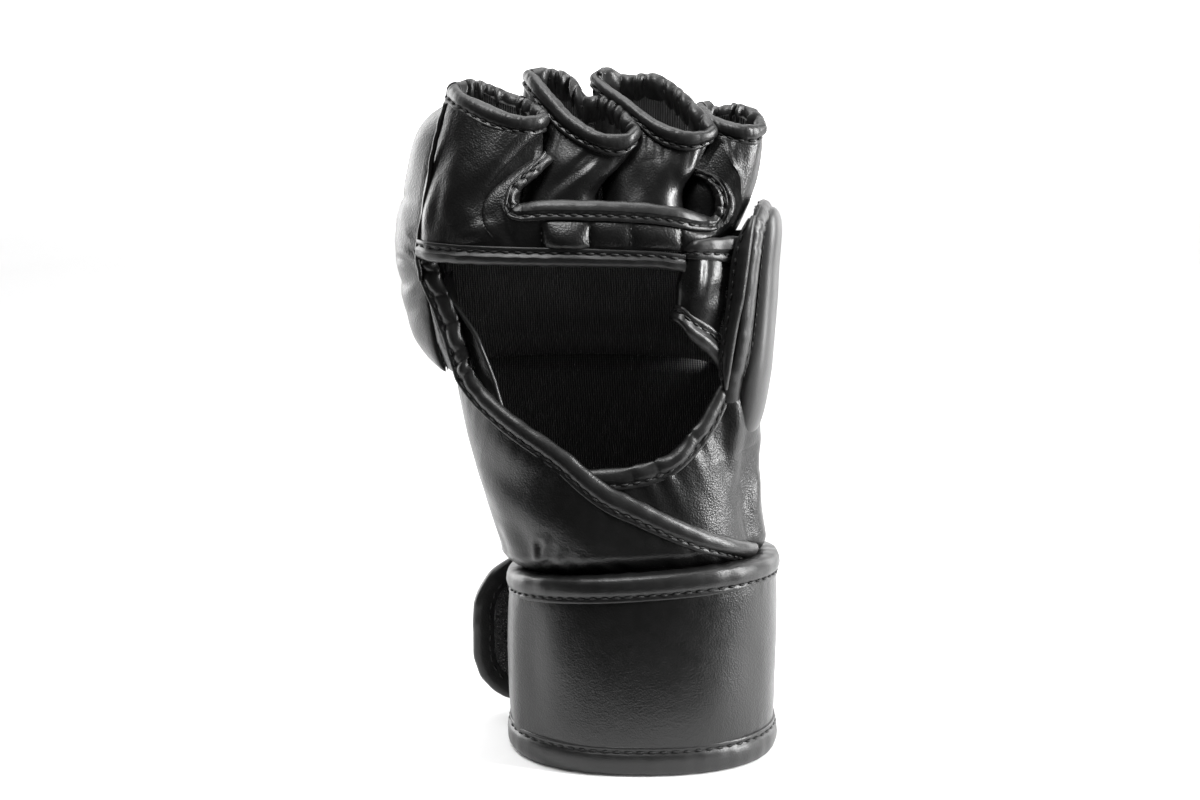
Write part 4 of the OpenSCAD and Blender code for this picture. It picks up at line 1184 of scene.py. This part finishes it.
def rim_lip(nm, share, d=0.5):
    """Points under a rim's sewn lip at shares of the way round from its left tip."""
    Er, Lr, Nr, _ = RINGS[nm]
    P_ = Lr + (Er - Lr) * 0.10 + Nr * d
    n_ = len(P_)
    x_ = (np.asarray(share, float) % 1.0) * n_
    P_ = np.concatenate([P_, P_[:1]])
    return np.stack([np.interp(x_, np.arange(n_ + 1), P_[:, i]) for i in range(3)], 1)


cols_T, cols_B, cols_w = [], [], []


def add(T, B, w=1.0):
    T, B = np.atleast_2d(T), np.atleast_2d(B)
    cols_T.extend(T.tolist())
    cols_B.extend(B.tolist())
    cols_w.extend([w] * len(T))


n1 = 34
qs = np.linspace(-0.035, 0.475, n1)
uB = np.linspace(0.0, 0.322, n1)
add(rim_lip("pinky", qs), np.c_[bar_xy(uB), np.full(n1, 186.4)])
ARM_L = np.array([[-34.2, -19.0, 218.0], [-38.5, -23.0, 213.6], [-43.0, -25.4, 210.3], [-46.4, -27.4, 206.4],
                  [-47.8, -29.0, 202.0], [-47.4, -30.6, 198.0], [-45.2, -32.0, 196.0], [-41.5, -32.4, 195.4]])
arm = along(ARM_L, np.linspace(0.04, 1, 22))
add(arm, np.c_[bar_xy(np.linspace(0.325, 0.365, 22)), np.full(22, 186.4)])
n2 = 70
u2 = np.linspace(0.375, 0.80, n2)
slot_z = np.interp(u2, [0.34, 0.42, 0.5, 0.57, 0.64, 0.72, 0.80, 0.9], [195.4, 196.0, 195.8, 195.1, 193.8, 192.2, 191.2, 191.2])
low_z = np.interp(u2, [0.36, 0.7, 0.8], [186.2, 184.8, 187.6])
add(np.c_[bar_xy(u2), slot_z], np.c_[bar_xy(u2), low_z])
ARM_R = np.array([[22.0, -25.2, 191.2], [25.4, -22.8, 191.8], [27.6, -21.2, 195.0], [28.4, -20.0, 199.6], [27.2, -18.8, 204.8],
                  [24.1, -17.4, 208.6], [20.1, -16.0, 211.0], [16.9, -15.0, 211.9]])
arm = along(ARM_R, np.linspace(0.05, 1, 22))
add(arm, np.c_[bar_xy(np.linspace(0.81, 0.87, 22)), np.full(22, 188.2)])
n3 = 46
qs = np.linspace(0.20, 0.78, n3)
ur = np.linspace(0.88, 1.0, 14)
tail = np.array([[29.5, -14], [31.5, -7], [31.5, 0], [29.0, 5.5]])
Bx = np.concatenate([bar_xy(ur), along(tail, np.linspace(0.03, 1, n3 - 14))])
add(rim_lip("index", qs), np.c_[Bx, np.full(n3, 188.6)])
T, B = np.array(cols_T), np.array(cols_B)
m = 60
v = np.linspace(0, 1, m)[:, None, None]
G = B[None] + (T - B)[None] * v
# the columns beside the slot's two arms keep clear of it
vp = np.clip((200.5 - B[:, 2]) / np.maximum(1.0, T[:, 2] - B[:, 2]), 0.30, 0.97)
at200 = B[:, 0] + (T[:, 0] - B[:, 0]) * vp
want = at200.copy()
il = n1 + int(np.argmin(T[n1:n1 + 22, 0]))
i0 = n1 - 27
want[i0:il + 1] = np.linspace(at200[i0], -48.3, il + 1 - i0)
ra = n1 + 22 + n2
ir = ra + int(np.argmax(T[ra:ra + 22, 0]))
i3 = ra + 22 + 24
want[ir:i3 + 1] = np.linspace(28.2, at200[i3], i3 + 1 - ir)
shift = want - at200
for _ in range(10):
    shift[1:-1] = 0.25 * shift[:-2] + 0.5 * shift[1:-1] + 0.25 * shift[2:]
hump = np.where(v[..., 0] < vp, np.sin(0.5 * np.pi * v[..., 0] / vp), np.cos(0.5 * np.pi * (v[..., 0] - vp) / (1 - vp + 1e-6)))
G[..., 0] += hump * shift[None]
arc = np.concatenate([[0], np.cumsum(np.linalg.norm(np.diff(B, axis=0), axis=1))])
# even out the columns a little, then raise the sheet outwards between its edges
N = normals(G)
if N[m // 2, 60, 1] > 0:
    N = -N
for _ in range(6):
    N[:, 1:-1] = unit(N[:, :-2] + 2 * N[:, 1:-1] + N[:, 2:])
tall = np.linalg.norm(T - B, axis=1)[None]
vv = v[..., 0]
kt = smooth(14, 32, tall)
for _ in range(40):
    kt[:, 1:-1] = 0.25 * kt[:, :-2] + 0.5 * kt[:, 1:-1] + 0.25 * kt[:, 2:]
h = 1.9 * np.sin(np.pi * vv) ** 0.8 * kt
X, Z = G[..., 0], G[..., 2]
# the five padded cells of the bar
edges_x = np.array([-35.3, -18.9, -4.9, 11.9, 24.0])
inb = smooth(-36.2, -34.6, X) * (1 - smooth(23.0, 25.5, X)) * (tall < 13)
ph = np.zeros_like(X)
for a_, b_ in zip(edges_x[:-1], edges_x[1:]):
    c_ = np.clip((X - a_) / (b_ - a_), 0, 1)
    ph = np.maximum(ph, np.where((X >= a_) & (X <= b_), np.sin(np.pi * c_) ** 0.35, 0))
full = np.exp(-((X + 27) / 8.0) ** 4)
rise = np.sin(np.pi * np.clip((vv - 0.02) / 0.98, 0, 1) ** (1 - 0.45 * full))
h = h + inb * ((1.9 + 1.6 * full) * ph * np.clip(rise, 0, 1) ** 0.75 - 0.35)
h = h - 0.9 * np.exp(-((X + 35.3) / 0.9) ** 2) * (tall < 18) * (1 - smooth(192, 197, Z))
# soft folds of the little-finger stall and the index stall
h = h + folds(G, [
    ((-72, -20, 214), (-75.5, -19, 189), 2.6, 0.8), ((-58, -29, 196), (-40, -25, 213), 5.5, -0.8),
    ((-66, -26, 194), (-54, -28, 210), 4.0, -0.9), 
    ((-70, -22, 205), (-60, -24, 222), 3.5, 0.6), ((-64, -27, 188), (-50, -31, 194), 2.6, 0.7),
    ((27.5, -18, 203), (27, -11, 219), 5.5, 1.3),
    ((31, -16, 196), (33, -12, 212), 3.0, -0.8)])
big = kt
h = h + big * (0.45 * wob3(G, 30, 171) + 0.03 * wob3(G, 8, 172)) * np.sin(np.pi * np.clip(vv, 0, 1)) ** 0.5
rip = sum(np.sin(arc * f_ + p_) for f_, p_ in ((1.1, 0), (1.63, 1), (2.1, 2))) / 3
h = h + 0.22 * rip[None] * smooth(0.7, 1, vv) * big
FRONT, FRONT_N = G + N * h[..., None], N
fs = skin("palm_bar_and_stall_fronts", FRONT, FRONT - N * 1.3, [M_LEATHER, M_LINING])
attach(fs, "glove")
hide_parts("palm_bar_shell")
# vertical seams between the cells, and the padding behind them
bits = []
for x_ in (-35.3, -18.9, -4.9, 11.9):
    i_ = int(np.argmin(np.abs(FRONT[m // 2, :, 0] - x_) + 50 * (tall[0] > 18)))
    P_ = FRONT[4:m - 3, i_] + N[4:m - 3, i_] * 0.05
    bits += stitches(P_, N[4:m - 3, i_], 2.6, 1.6, 0.26, seed=int(x_ * 10) + 500, s0=0.6)
v_, f_ = join(bits)
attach(make("palm_bar_cell_stitches", v_, f_, M_THREAD, 80), "glove")
uc = np.linspace(0.40, 0.74, 90)
zc = np.linspace(186.8, 193.0, 12)
P = np.array([np.c_[bar_xy(uc), np.full(90, z_)] for z_ in zc])
Nb = normals(P)
Nb = Nb if Nb[5, 45, 1] < 0 else -Nb
# the padding uses the near-black lining, painted shade behind the cells
cell = skin("palm_bar_padding", P - Nb * 1.6, P - Nb * 3.9, [M_INNER_PAINTED_SHADE, M_INNER_PAINTED_SHADE])
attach(cell, "glove")
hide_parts("palm_bar_cells")


def strip(name, E, L, N, W, t, mats, **kw):
    """Binding between a free edge E and a sewn lip L, with normals N."""
    def at(w):
        return E + (L - E) * (w / W), N
    return binding(name, at, len(E), W, t, mats, **kw)


# lower binding of the bar
ub = np.linspace(0.004, 0.70, 260)
xy = bar_xy(ub)
t2 = unit(np.gradient(xy, axis=0))
Nn = np.c_[t2[:, 1], -t2[:, 0], np.zeros(260)]
zl = np.interp(ub, [0, 0.45, 0.6, 0.72], [187.2, 186.6, 185.4, 183.6])
ze = np.interp(ub, [0, 0.45, 0.6, 0.72], [180.6, 180.4, 179.8, 177.4])
E = np.c_[xy, ze]
L = np.c_[xy, zl]
b = strip("palm_bar_lower_binding_roll", E + Nn * 0.1, L + Nn * 0.5, Nn, 6.6, 2.2, M_BIND, body="glove", seed=181, back=5.5,
          roll=0.9, pitch=4.2)
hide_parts("palm_bar_lower_binding")

# binding of the slot that frees the two middle fingers: left arm, bottom, right arm
LIP = np.concatenate([along(ARM_L, np.linspace(0.02, 1, 60)), np.c_[bar_xy(u2), slot_z][3:-2],
                      along(ARM_R, np.linspace(0.02, 1, 50))])
sk = np.concatenate([[0], np.cumsum(np.linalg.norm(np.diff(LIP, axis=0), axis=1))])
qn = np.linspace(0, sk[-1], 420)
LIP = np.stack([np.interp(qn, sk, LIP[:, i]) for i in range(3)], 1)
for _ in range(8):
    LIP[1:-1] = 0.25 * LIP[:-2] + 0.5 * LIP[1:-1] + 0.25 * LIP[2:]
T_ = unit(np.gradient(LIP, axis=0))
mid_c = np.array([-10.0, -14.0, 208.0])
# the free edge: up behind the lip along the bottom, and folded inwards at the two arms
bottom = np.exp(-np.clip(np.abs(LIP[:, 0] + 11) - 27, 0, 99) ** 2 / 60.0) * (LIP[:, 2] < 203)
bottom = np.convolve(np.pad(bottom, 12, mode="edge"), np.ones(25) / 25, "valid")
inw = mid_c - LIP
inw = inw - T_ * np.einsum("ij,ij->i", inw, T_)[:, None]
inw[:, 1] = np.abs(inw[:, 1]) * 0.6 + 2.5
inw = unit(inw)
updir = unit(np.c_[np.zeros(420), np.full(420, 0.10), np.ones(420)])
Dd = unit(inw * (1 - bottom[:, None]) + updir * bottom[:, None])
Wd = 4.2 + 2.2 * bottom
E = LIP + Dd * Wd[:, None]
Nv = np.cross(T_, Dd)
Nv = unit(Nv * np.where(Nv[:, 1:2] > 0, -1, 1))


def pk_slot(s):
    return 0.55 * (1 - smooth(20, 30, s)) + 0.5 * smooth(s[-1] - 34, s[-1] - 24, s) + 0.05


b = strip("finger_slot_binding", E, LIP + Nv * 0.35, Nv, 6.4, 2.0, M_BIND, body="glove", seed=191, back=5.0, roll=0.95,
          pucker=pk_slot, pitch=4.1)
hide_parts("palm_bar_upper_binding")

# piping seam between the little-finger stall and the knuckle pad
S = along([[-68.3, -12.2, 233.5], [-70.4, -14.0, 226], [-72.6, -14.8, 217], [-74.6, -15.2, 205], [-76.4, -15.6, 195],
           [-78.0, -15.8, 187], [-78.6, -14.5, 180], [-77.5, -13.0, 172]], np.linspace(0, 1, 90))
S[:, 0] += 0.15 * wob1(np.arange(90.0), 12, 5)
v_, f_ = tube(S, 0.9, 12, N=np.repeat(np.array([[-0.4, -0.9, 0.0]]), 90, 0))
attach(make("little_finger_seam_piping", v_, f_, M_LEATHER, 80), "glove")

# leather gussets between the fingers, behind the bar
gus = []
for x_ in (-45.0, -15.6, 11.0):
    yy, z2 = np.meshgrid(np.linspace(-22, 4, 18), np.linspace(184.5, 197, 16))
    xx = x_ - 0.30 * (yy + 10) + 0.5 * np.sin(z2 * 0.5) + 0.4 * np.sin(yy * 0.4)
    Gg = np.stack([xx, yy, z2], -1)
    Hh = Gg + np.array([1.3, 0.3, 0])
    f1, b1, r1 = slab_faces(16, 18, False)
    gus.append((np.concatenate([Gg.reshape(-1, 3), Hh.reshape(-1, 3)]), np.concatenate([f1, b1, r1])[:, ::-1].tolist()))
v_, f_ = join(gus)
gs = make("gussets_between_fingers", v_, f_, M_LEATHER, 60)
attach(gs, "glove")
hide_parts("finger_gussets")

# ------------------------------------------------------------------ thumb
TH_Z = [116, 135, 150, 175, 192, 200]
TH = [[[28, -15], [35, -11], [38.5, -2], [38.5, 8]], [[28.4, -22.5], [37, -14.5], [40.5, -2], [41, 10]],
      [[31.8, -27], [38.3, -16], [41, -2], [42, 11]], [[35.2, -28], [39.8, -16.5], [42, -3], [41.5, 10]],
      [[37.4, -26], [40.8, -16.5], [43, -5], [41.6, 6]], [[39, -20], [40.8, -14], [42, -7], [41, -1]]]


def thumb_pt(u, t):
    u, t = np.broadcast_arrays(np.asarray(u, float), np.asarray(t, float))
    rows = along(np.array(TH, float).reshape(6, -1), t.ravel()).reshape(-1, 4, 2)
    z = along(np.array(TH_Z, float), t.ravel())[:, 0]
    uf = u.ravel()
    n = 3
    s = np.clip(np.floor(uf * n).astype(int), 0, n - 1)
    f = (uf * n - s)[:, None]
    k = np.arange(len(uf))
    a, b, c, d = rows[k, np.maximum(0, s - 1)], rows[k, s], rows[k, s + 1], rows[k, np.minimum(3, s + 2)]
    p = 0.5 * (2 * b + (c - a) * f + (2 * a - 5 * b + 4 * c - d) * f ** 2 + (3 * b - a - 3 * c + d) * f ** 3)
    return np.concatenate([p, z[:, None]], 1).reshape(u.shape + (3,))


def thumb_n(u, t):
    e = 0.02
    du = thumb_pt(np.minimum(1, u + e), t) - thumb_pt(np.maximum(0, u - e), t)
    dt = thumb_pt(u, np.minimum(1, t + e)) - thumb_pt(u, np.maximum(0, t - e))
    n = unit(np.cross(du, dt))
    return n


# outline of the panel in (u, t): up the palm side, round the top, down the back
TOPT = 0.985


def panel_outline(k):
    pts = [(0.0, t) for t in np.linspace(0.0, 0.80, 60)]
    for a in np.linspace(180, 0, 60):
        pts.append((0.5 + 0.5 * math.cos(math.radians(a)), 0.80 + (TOPT - 0.80) * math.sin(math.radians(a)) ** 0.8))
    pts += [(1.0, t) for t in np.linspace(0.80, 0.0, 60)]
    return np.array(pts)


po_ = panel_outline(0)
Ed = thumb_pt(po_[:, 0], po_[:, 1])
se = np.concatenate([[0], np.cumsum(np.linalg.norm(np.diff(Ed, axis=0), axis=1))])
q_ = np.linspace(0, se[-1], 420)
ut = np.stack([np.interp(q_, se, po_[:, i]) for i in range(2)], 1)
Ed = thumb_pt(ut[:, 0], ut[:, 1])
Cn = thumb_pt(np.full(420, 0.5), np.clip(ut[:, 1], 0, 0.80))
Np = thumb_n(np.clip(ut[:, 0], 0.03, 0.97), np.clip(ut[:, 1], 0.01, 0.97))
for _ in range(10):
    Np[1:-1] = unit(Np[:-2] + 2 * Np[1:-1] + Np[2:])
Din = Cn - Ed
Tn = unit(np.gradient(Ed, axis=0))
Din = Din - Tn * np.einsum("ij,ij->i", Din, Tn)[:, None]
Din = unit(Din - Np * np.einsum("ij,ij->i", Din, Np)[:, None])
for _ in range(12):
    Din[1:-1] = unit(Din[:-2] + 2 * Din[1:-1] + Din[2:])


def panel_at(w):
    return Ed + Din * w, Np


# panel leather
uu_, tt_ = np.meshgrid(np.linspace(0.10, 0.92, 50), np.linspace(0.0, 0.955, 110))
G = thumb_pt(uu_, tt_)
N = thumb_n(uu_, tt_)
G = G + N * (0.25 * wob3(G, 18, 201) - 0.9 * np.exp(-((uu_ - 0.26) / 0.05) ** 2))[..., None]
pl = skin("thumb_panel_leather", G, G - N * 1.8, [M_LEATHER, M_LINING])
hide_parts("thumb_panel")


def pk_thumb(s):
    return 0.35 * np.exp(-((s - 78) / 7.0) ** 2) + 0.10


pb, ps = binding("thumb_panel_edge", panel_at, 420, 8.6, 1.8, M_BIND, seed=205, pucker=pk_thumb, roll=1.25, back=7.5, pitch=4.0)
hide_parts("thumb_panel_binding")
# the raised strip: a crowned, sewn-in bar along the outside of the thumb
nv_, nu_ = 120, 44
tv = np.linspace(0, 1, nv_)[:, None]
su = np.linspace(-1, 1, nu_)[None]
t0_, t1_ = 0.015, 0.905
taper = np.sqrt(np.clip(1 - np.abs(2 * tv - 1) ** 5, 0, 1))
wid = (0.23 + 0.05 * tv) * (0.18 + 0.82 * taper)
uc_ = 0.37 + 0.19 * smooth(0, 0.7, tv)
U = uc_ + wid * su
Tt = t0_ + (t1_ - t0_) * tv + 0 * su
G = thumb_pt(np.clip(U, 0, 1), Tt)
N = thumb_n(np.clip(U, 0.03, 0.97), np.clip(Tt, 0.01, 0.97))
crown = np.sqrt(np.clip(1 - np.abs(su) ** 2.6, 0, 1)) * (0.15 + 0.85 * taper)
hh = 0.2 + 5.4 * crown + 0.12 * wob3(G, 16, 211)
O = G + N * hh[..., None]
# the pad uses the lightened leather, painted highlight for its glare
pad_t = skin("thumb_pad", O, G - N * 0.4, [M_THUMB_PAINTED_GLARE, M_THUMB_PAINTED_GLARE])
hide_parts("thumb_pad_shell", "thumb_pad_foam")
# seam line round the raised strip
ed = np.concatenate([np.stack([U[:, 0], Tt[:, 0]], 1), np.stack([U[-1], Tt[-1]], 1)[1:], np.stack([U[::-1, -1], Tt[::-1, -1]], 1)[1:]])
Ps = thumb_pt(np.clip(ed[:, 0], 0, 1), ed[:, 1])
Ns = thumb_n(np.clip(ed[:, 0], 0.03, 0.97), np.clip(ed[:, 1], 0.01, 0.97))
v_, f_ = join(stitches(Ps + Ns * 0.35, Ns, 3.4, 2.2, 0.34, seed=213))
sew = make("thumb_pad_stitches", v_, f_, M_THREAD, 80)
# inner lip of the panel's binding, sewn down over the loop
lz = np.linspace(0, 1, 130)
LE = along([[26.6, -25.0, 137.5], [25.4, -26.4, 142], [25.3, -27.0, 148], [26.8, -27.2, 159.6], [27.9, -27.2, 168.8],
            [29.4, -27.0, 182.6], [32.4, -25.5, 191.2], [35.0, -23.0, 195]], lz)
RE = along([[28.6, -25.0, 136.0], [29.3, -27.4, 142], [30.0, -28.4, 148], [31.8, -28.8, 159.6], [33.6, -29.0, 168.8],
            [35.4, -28.6, 182.6], [36.6, -26.8, 191.6], [37.6, -24.0, 196]], lz)
LN = unit(np.cross(unit(np.gradient(LE, axis=0)), RE - LE))
LN = LN * np.where(LN[:, 1:2] > 0, -1, 1)
cross_h = [(0.0, -0.9), (0.0, 0.15), (0.06, 0.42), (0.17, 0.30), (0.23, 0.02), (0.30, 0.22), (0.45, 0.75), (0.65, 1.0), (0.85, 0.8), (1.0, 0.1),
           (1.0, -0.9)]
cr = np.concatenate([[0], np.cumsum(np.linalg.norm(np.diff(LE, axis=0), axis=1))])
LV = np.stack([LE + (RE - LE) * w_ + LN * (hh_ + 0.14 * wob1(cr, 7, 207) * w_)[:, None] for w_, hh_ in
               [(a_, b_ + np.zeros(130)) for a_, b_ in cross_h]], 1)
lip = make("thumb_panel_inner_lip", LV.reshape(-1, 3), ring_faces(130, len(cross_h), False), M_BIND, 75)
v_, f_ = join(stitches(LE + (RE - LE) * 0.235 + LN * 0.3, LN, 4.0, 2.6, 0.42, seed=208))
lip_s = make("thumb_panel_lip_stitches", v_, f_, M_THREAD, 80)
# loop that closes the thumb sleeve on the palm side
LOOP = [[35, -22.5], [28.5, -26], [22, -29.6], [16.6, -31.2], [12.9, -27.5], [14, -17], [21, -9], [30, -7.5], [39, -7.5]]


def loop_rows(n=220):
    s_ = np.linspace(0, 1, n)
    p = along(LOOP, s_)
    t_ = unit(along(LOOP, np.minimum(1, s_ + 0.01)) - along(LOOP, np.maximum(0, s_ - 0.01)))
    n_ = np.c_[t_[:, 1], -t_[:, 0]]
    c_ = p - np.array([24.0, -19.0])
    n_ = n_ * np.where((n_ * c_).sum(1) < 0, -1, 1)[:, None]
    return p, np.c_[n_, np.zeros(n)]


lp, lnm = loop_rows()
kf = np.linspace(0, 1, 220)
lo = np.interp(lp[:, 0], [14.5, 19.3, 25.0, 28.5, 31.5], [158.4, 154.3, 149.7, 145.6, 141.5])
lo = lo + (159.5 - lo) * smooth(0.34, 0.50, kf) - 10.0 * smooth(0.55, 1.0, kf)
hi = np.interp(lp[:, 0], [12, 16, 22, 34], [186.6, 188.6, 189.0, 188.8])
lean = lambda z: 0.10 * (z - 187)


def loop_pt(f, d=0.0):
    z = lo + (hi - lo) * f
    return np.c_[lp[:, 0] + lean(z), lp[:, 1], z] + lnm * np.asarray(d)[..., None]


rows = []
for f in np.linspace(0.16, 0.86, 50):
    d = -0.6 + 0.9 * math.sin(math.pi * (f - 0.16) / 0.7) ** 0.7
    rows.append(loop_pt(f, d * np.ones(220)))
G = np.array(rows)
G = G + lnm[None] * (0.35 * wob3(G, 13, 221) + folds(G, [((16, -31, 170), (21, -33, 186), 2.0, 0.6),
                                                        ((27, -33, 160), (30, -32, 182), 2.2, -0.5)]))[..., None]
lp_o = skin("thumb_loop_leather", G, G - lnm[None] * 1.6, [M_GLOSS, M_LINING])
if True:
    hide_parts("thumb_loop")
E_, L_ = loop_pt(1.0), loop_pt(1 - 5.8 / 30.0, 0.1)
lb1 = strip("thumb_loop_top_edge", E_, L_, lnm, 5.8, 1.8, M_BIND, seed=225, back=5.0, roll=0.8, pitch=3.9)
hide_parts("thumb_loop_upper_binding")
E_, L_ = loop_pt(0.0), loop_pt(7.6 / 32.0, 0.1)
lb2 = strip("thumb_loop_low_edge", E_, L_, lnm, 7.0, 1.8, M_BIND, seed=229, back=6.0, roll=1.25, pitch=3.9)
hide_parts("thumb_loop_lower_binding")
# web of leather from the panel's back edge to the back of the hand
nz, nx = 60, 30
zw = np.linspace(112, 186, nz)
rows = []
for z_ in zw:
    t_ = np.interp(z_, along(np.array(TH_Z, float), np.linspace(0, 1, 200))[:, 0], np.linspace(0, 1, 200))
    a_ = thumb_pt(np.array(0.965), np.array(t_)) - np.array([1.2, 0, 0])
    if z_ < 138:
        b_ = hand(np.interp(z_, [59, 117, 124, 138], [-5, -5, 38, 40]) + 10, z_, -2.5)
    else:
        b_ = np.array([27.0 + 0.03 * (z_ - 138), 12.0, z_])
    w_ = np.linspace(0, 1, nx)[:, None]
    p_ = a_ + (b_ - a_) * w_
    p_[:, 1] += 1.5 * np.sin(np.pi * w_[:, 0])
    rows.append(p_)
G = np.array(rows)
N = normals(G)
N = N if N[30, 15, 1] > 0 else -N
G = G + N * (0.7 * wob3(G, 12, 231))[..., None] * np.sin(np.pi * np.linspace(0, 1, nx))[None, :, None]
web = skin("thumb_web", G, G - N * 1.4, [M_LEATHER, M_LINING])
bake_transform(web)
blend_all([pl, pb, ps, pad_t, sew, lip, lip_s, lp_o, *lb1, *lb2], *THB)


# ------------------------------------------------------------------ carried CAD pieces, stage, light and camera
for nm, mt in (("wrist_sleeve", M_LEATHER), ("sleeve_lining", M_LINING)):
    o = bpy.data.objects.get(nm)
    if o is not None and o.type == "MESH":
        o.data.materials.clear()
        o.data.materials.append(mt)

def stage_mat(name, lo, hi, glow):
    m, nt, b = new_mat(name)
    n_ = noise(nt, coords(nt), 3.0, 2)
    nt.links.new(ramp(nt, n_, [(0.3, lo), (0.7, hi)]), b.inputs["Base Color"])
    b.inputs["Roughness"].default_value = 0.9
    b.inputs["Emission Color"].default_value = (1, 1, 1, 1)
    b.inputs["Emission Strength"].default_value = glow
    return m


def quad(name, pts, mat):
    me = bpy.data.meshes.new(name)
    me.from_pydata(pts, [], [(0, 1, 2, 3)])
    me.materials.append(mat)
    o = bpy.data.objects.new(name, me)
    bpy.context.scene.collection.objects.link(o)
    return o


quad("floor", [(-3, -0.10, -0.0002), (3, -0.10, -0.0002), (3, 1.7, -0.0002), (-3, 1.7, -0.0002)], stage_mat("floor_paper", 0.80, 0.82, 0.07))
quad("backdrop", [(-3, 1.6, -0.1), (3, 1.6, -0.1), (3, 1.6, 3.5), (-3, 1.6, 3.5)], stage_mat("backdrop_paper", 0.88, 0.90, 1.3))

scn = bpy.context.scene
w = bpy.data.worlds.new("studio")
scn.world = w
w.use_nodes = True
bg = w.node_tree.nodes["Background"]
bg.inputs["Color"].default_value = (1, 1, 1, 1)
bg.inputs["Strength"].default_value = 0.06
scn.view_settings.view_transform = "Standard"
scn.view_settings.look = "None"


def area(name, loc, target, size, power, size_y=None):
    d = bpy.data.lights.new(name, "AREA")
    d.shape = "RECTANGLE"
    d.size = size
    d.size_y = size_y or size
    d.energy = power
    o = bpy.data.objects.new(name, d)
    scn.collection.objects.link(o)
    o.location = loc
    o.rotation_euler = (Vector(target) - Vector(loc)).to_track_quat("-Z", "Y").to_euler()
    return o


area("box_left", (-0.66, 0.46, 0.26), (-0.02, 0, 0.13), 0.5, 6.5, 0.9)
area("box_front_top", (-0.20, -0.42, 0.98), (-0.02, 0, 0.17), 0.35, 5, 0.25)
area("strip_right", (0.74, -0.24, 0.40), (-0.02, 0, 0.13), 0.15, 17, 0.8)
area("box_right_back", (0.66, 0.42, 0.32), (0.03, 0, 0.15), 0.35, 3.2, 0.7)
area("box_top", (-0.05, 0.10, 1.05), (-0.01, 0, 0.12), 0.9, 7, 0.6)

cd = bpy.data.cameras.new("camera")
cd.lens = 70
cd.sensor_width = 36
cam = bpy.data.objects.new("camera", cd)
scn.collection.objects.link(cam)
cam.location = (-0.0155, -0.8138, 0.3000)
cam.rotation_euler = (math.radians(78), 0, 0)
scn.camera = cam
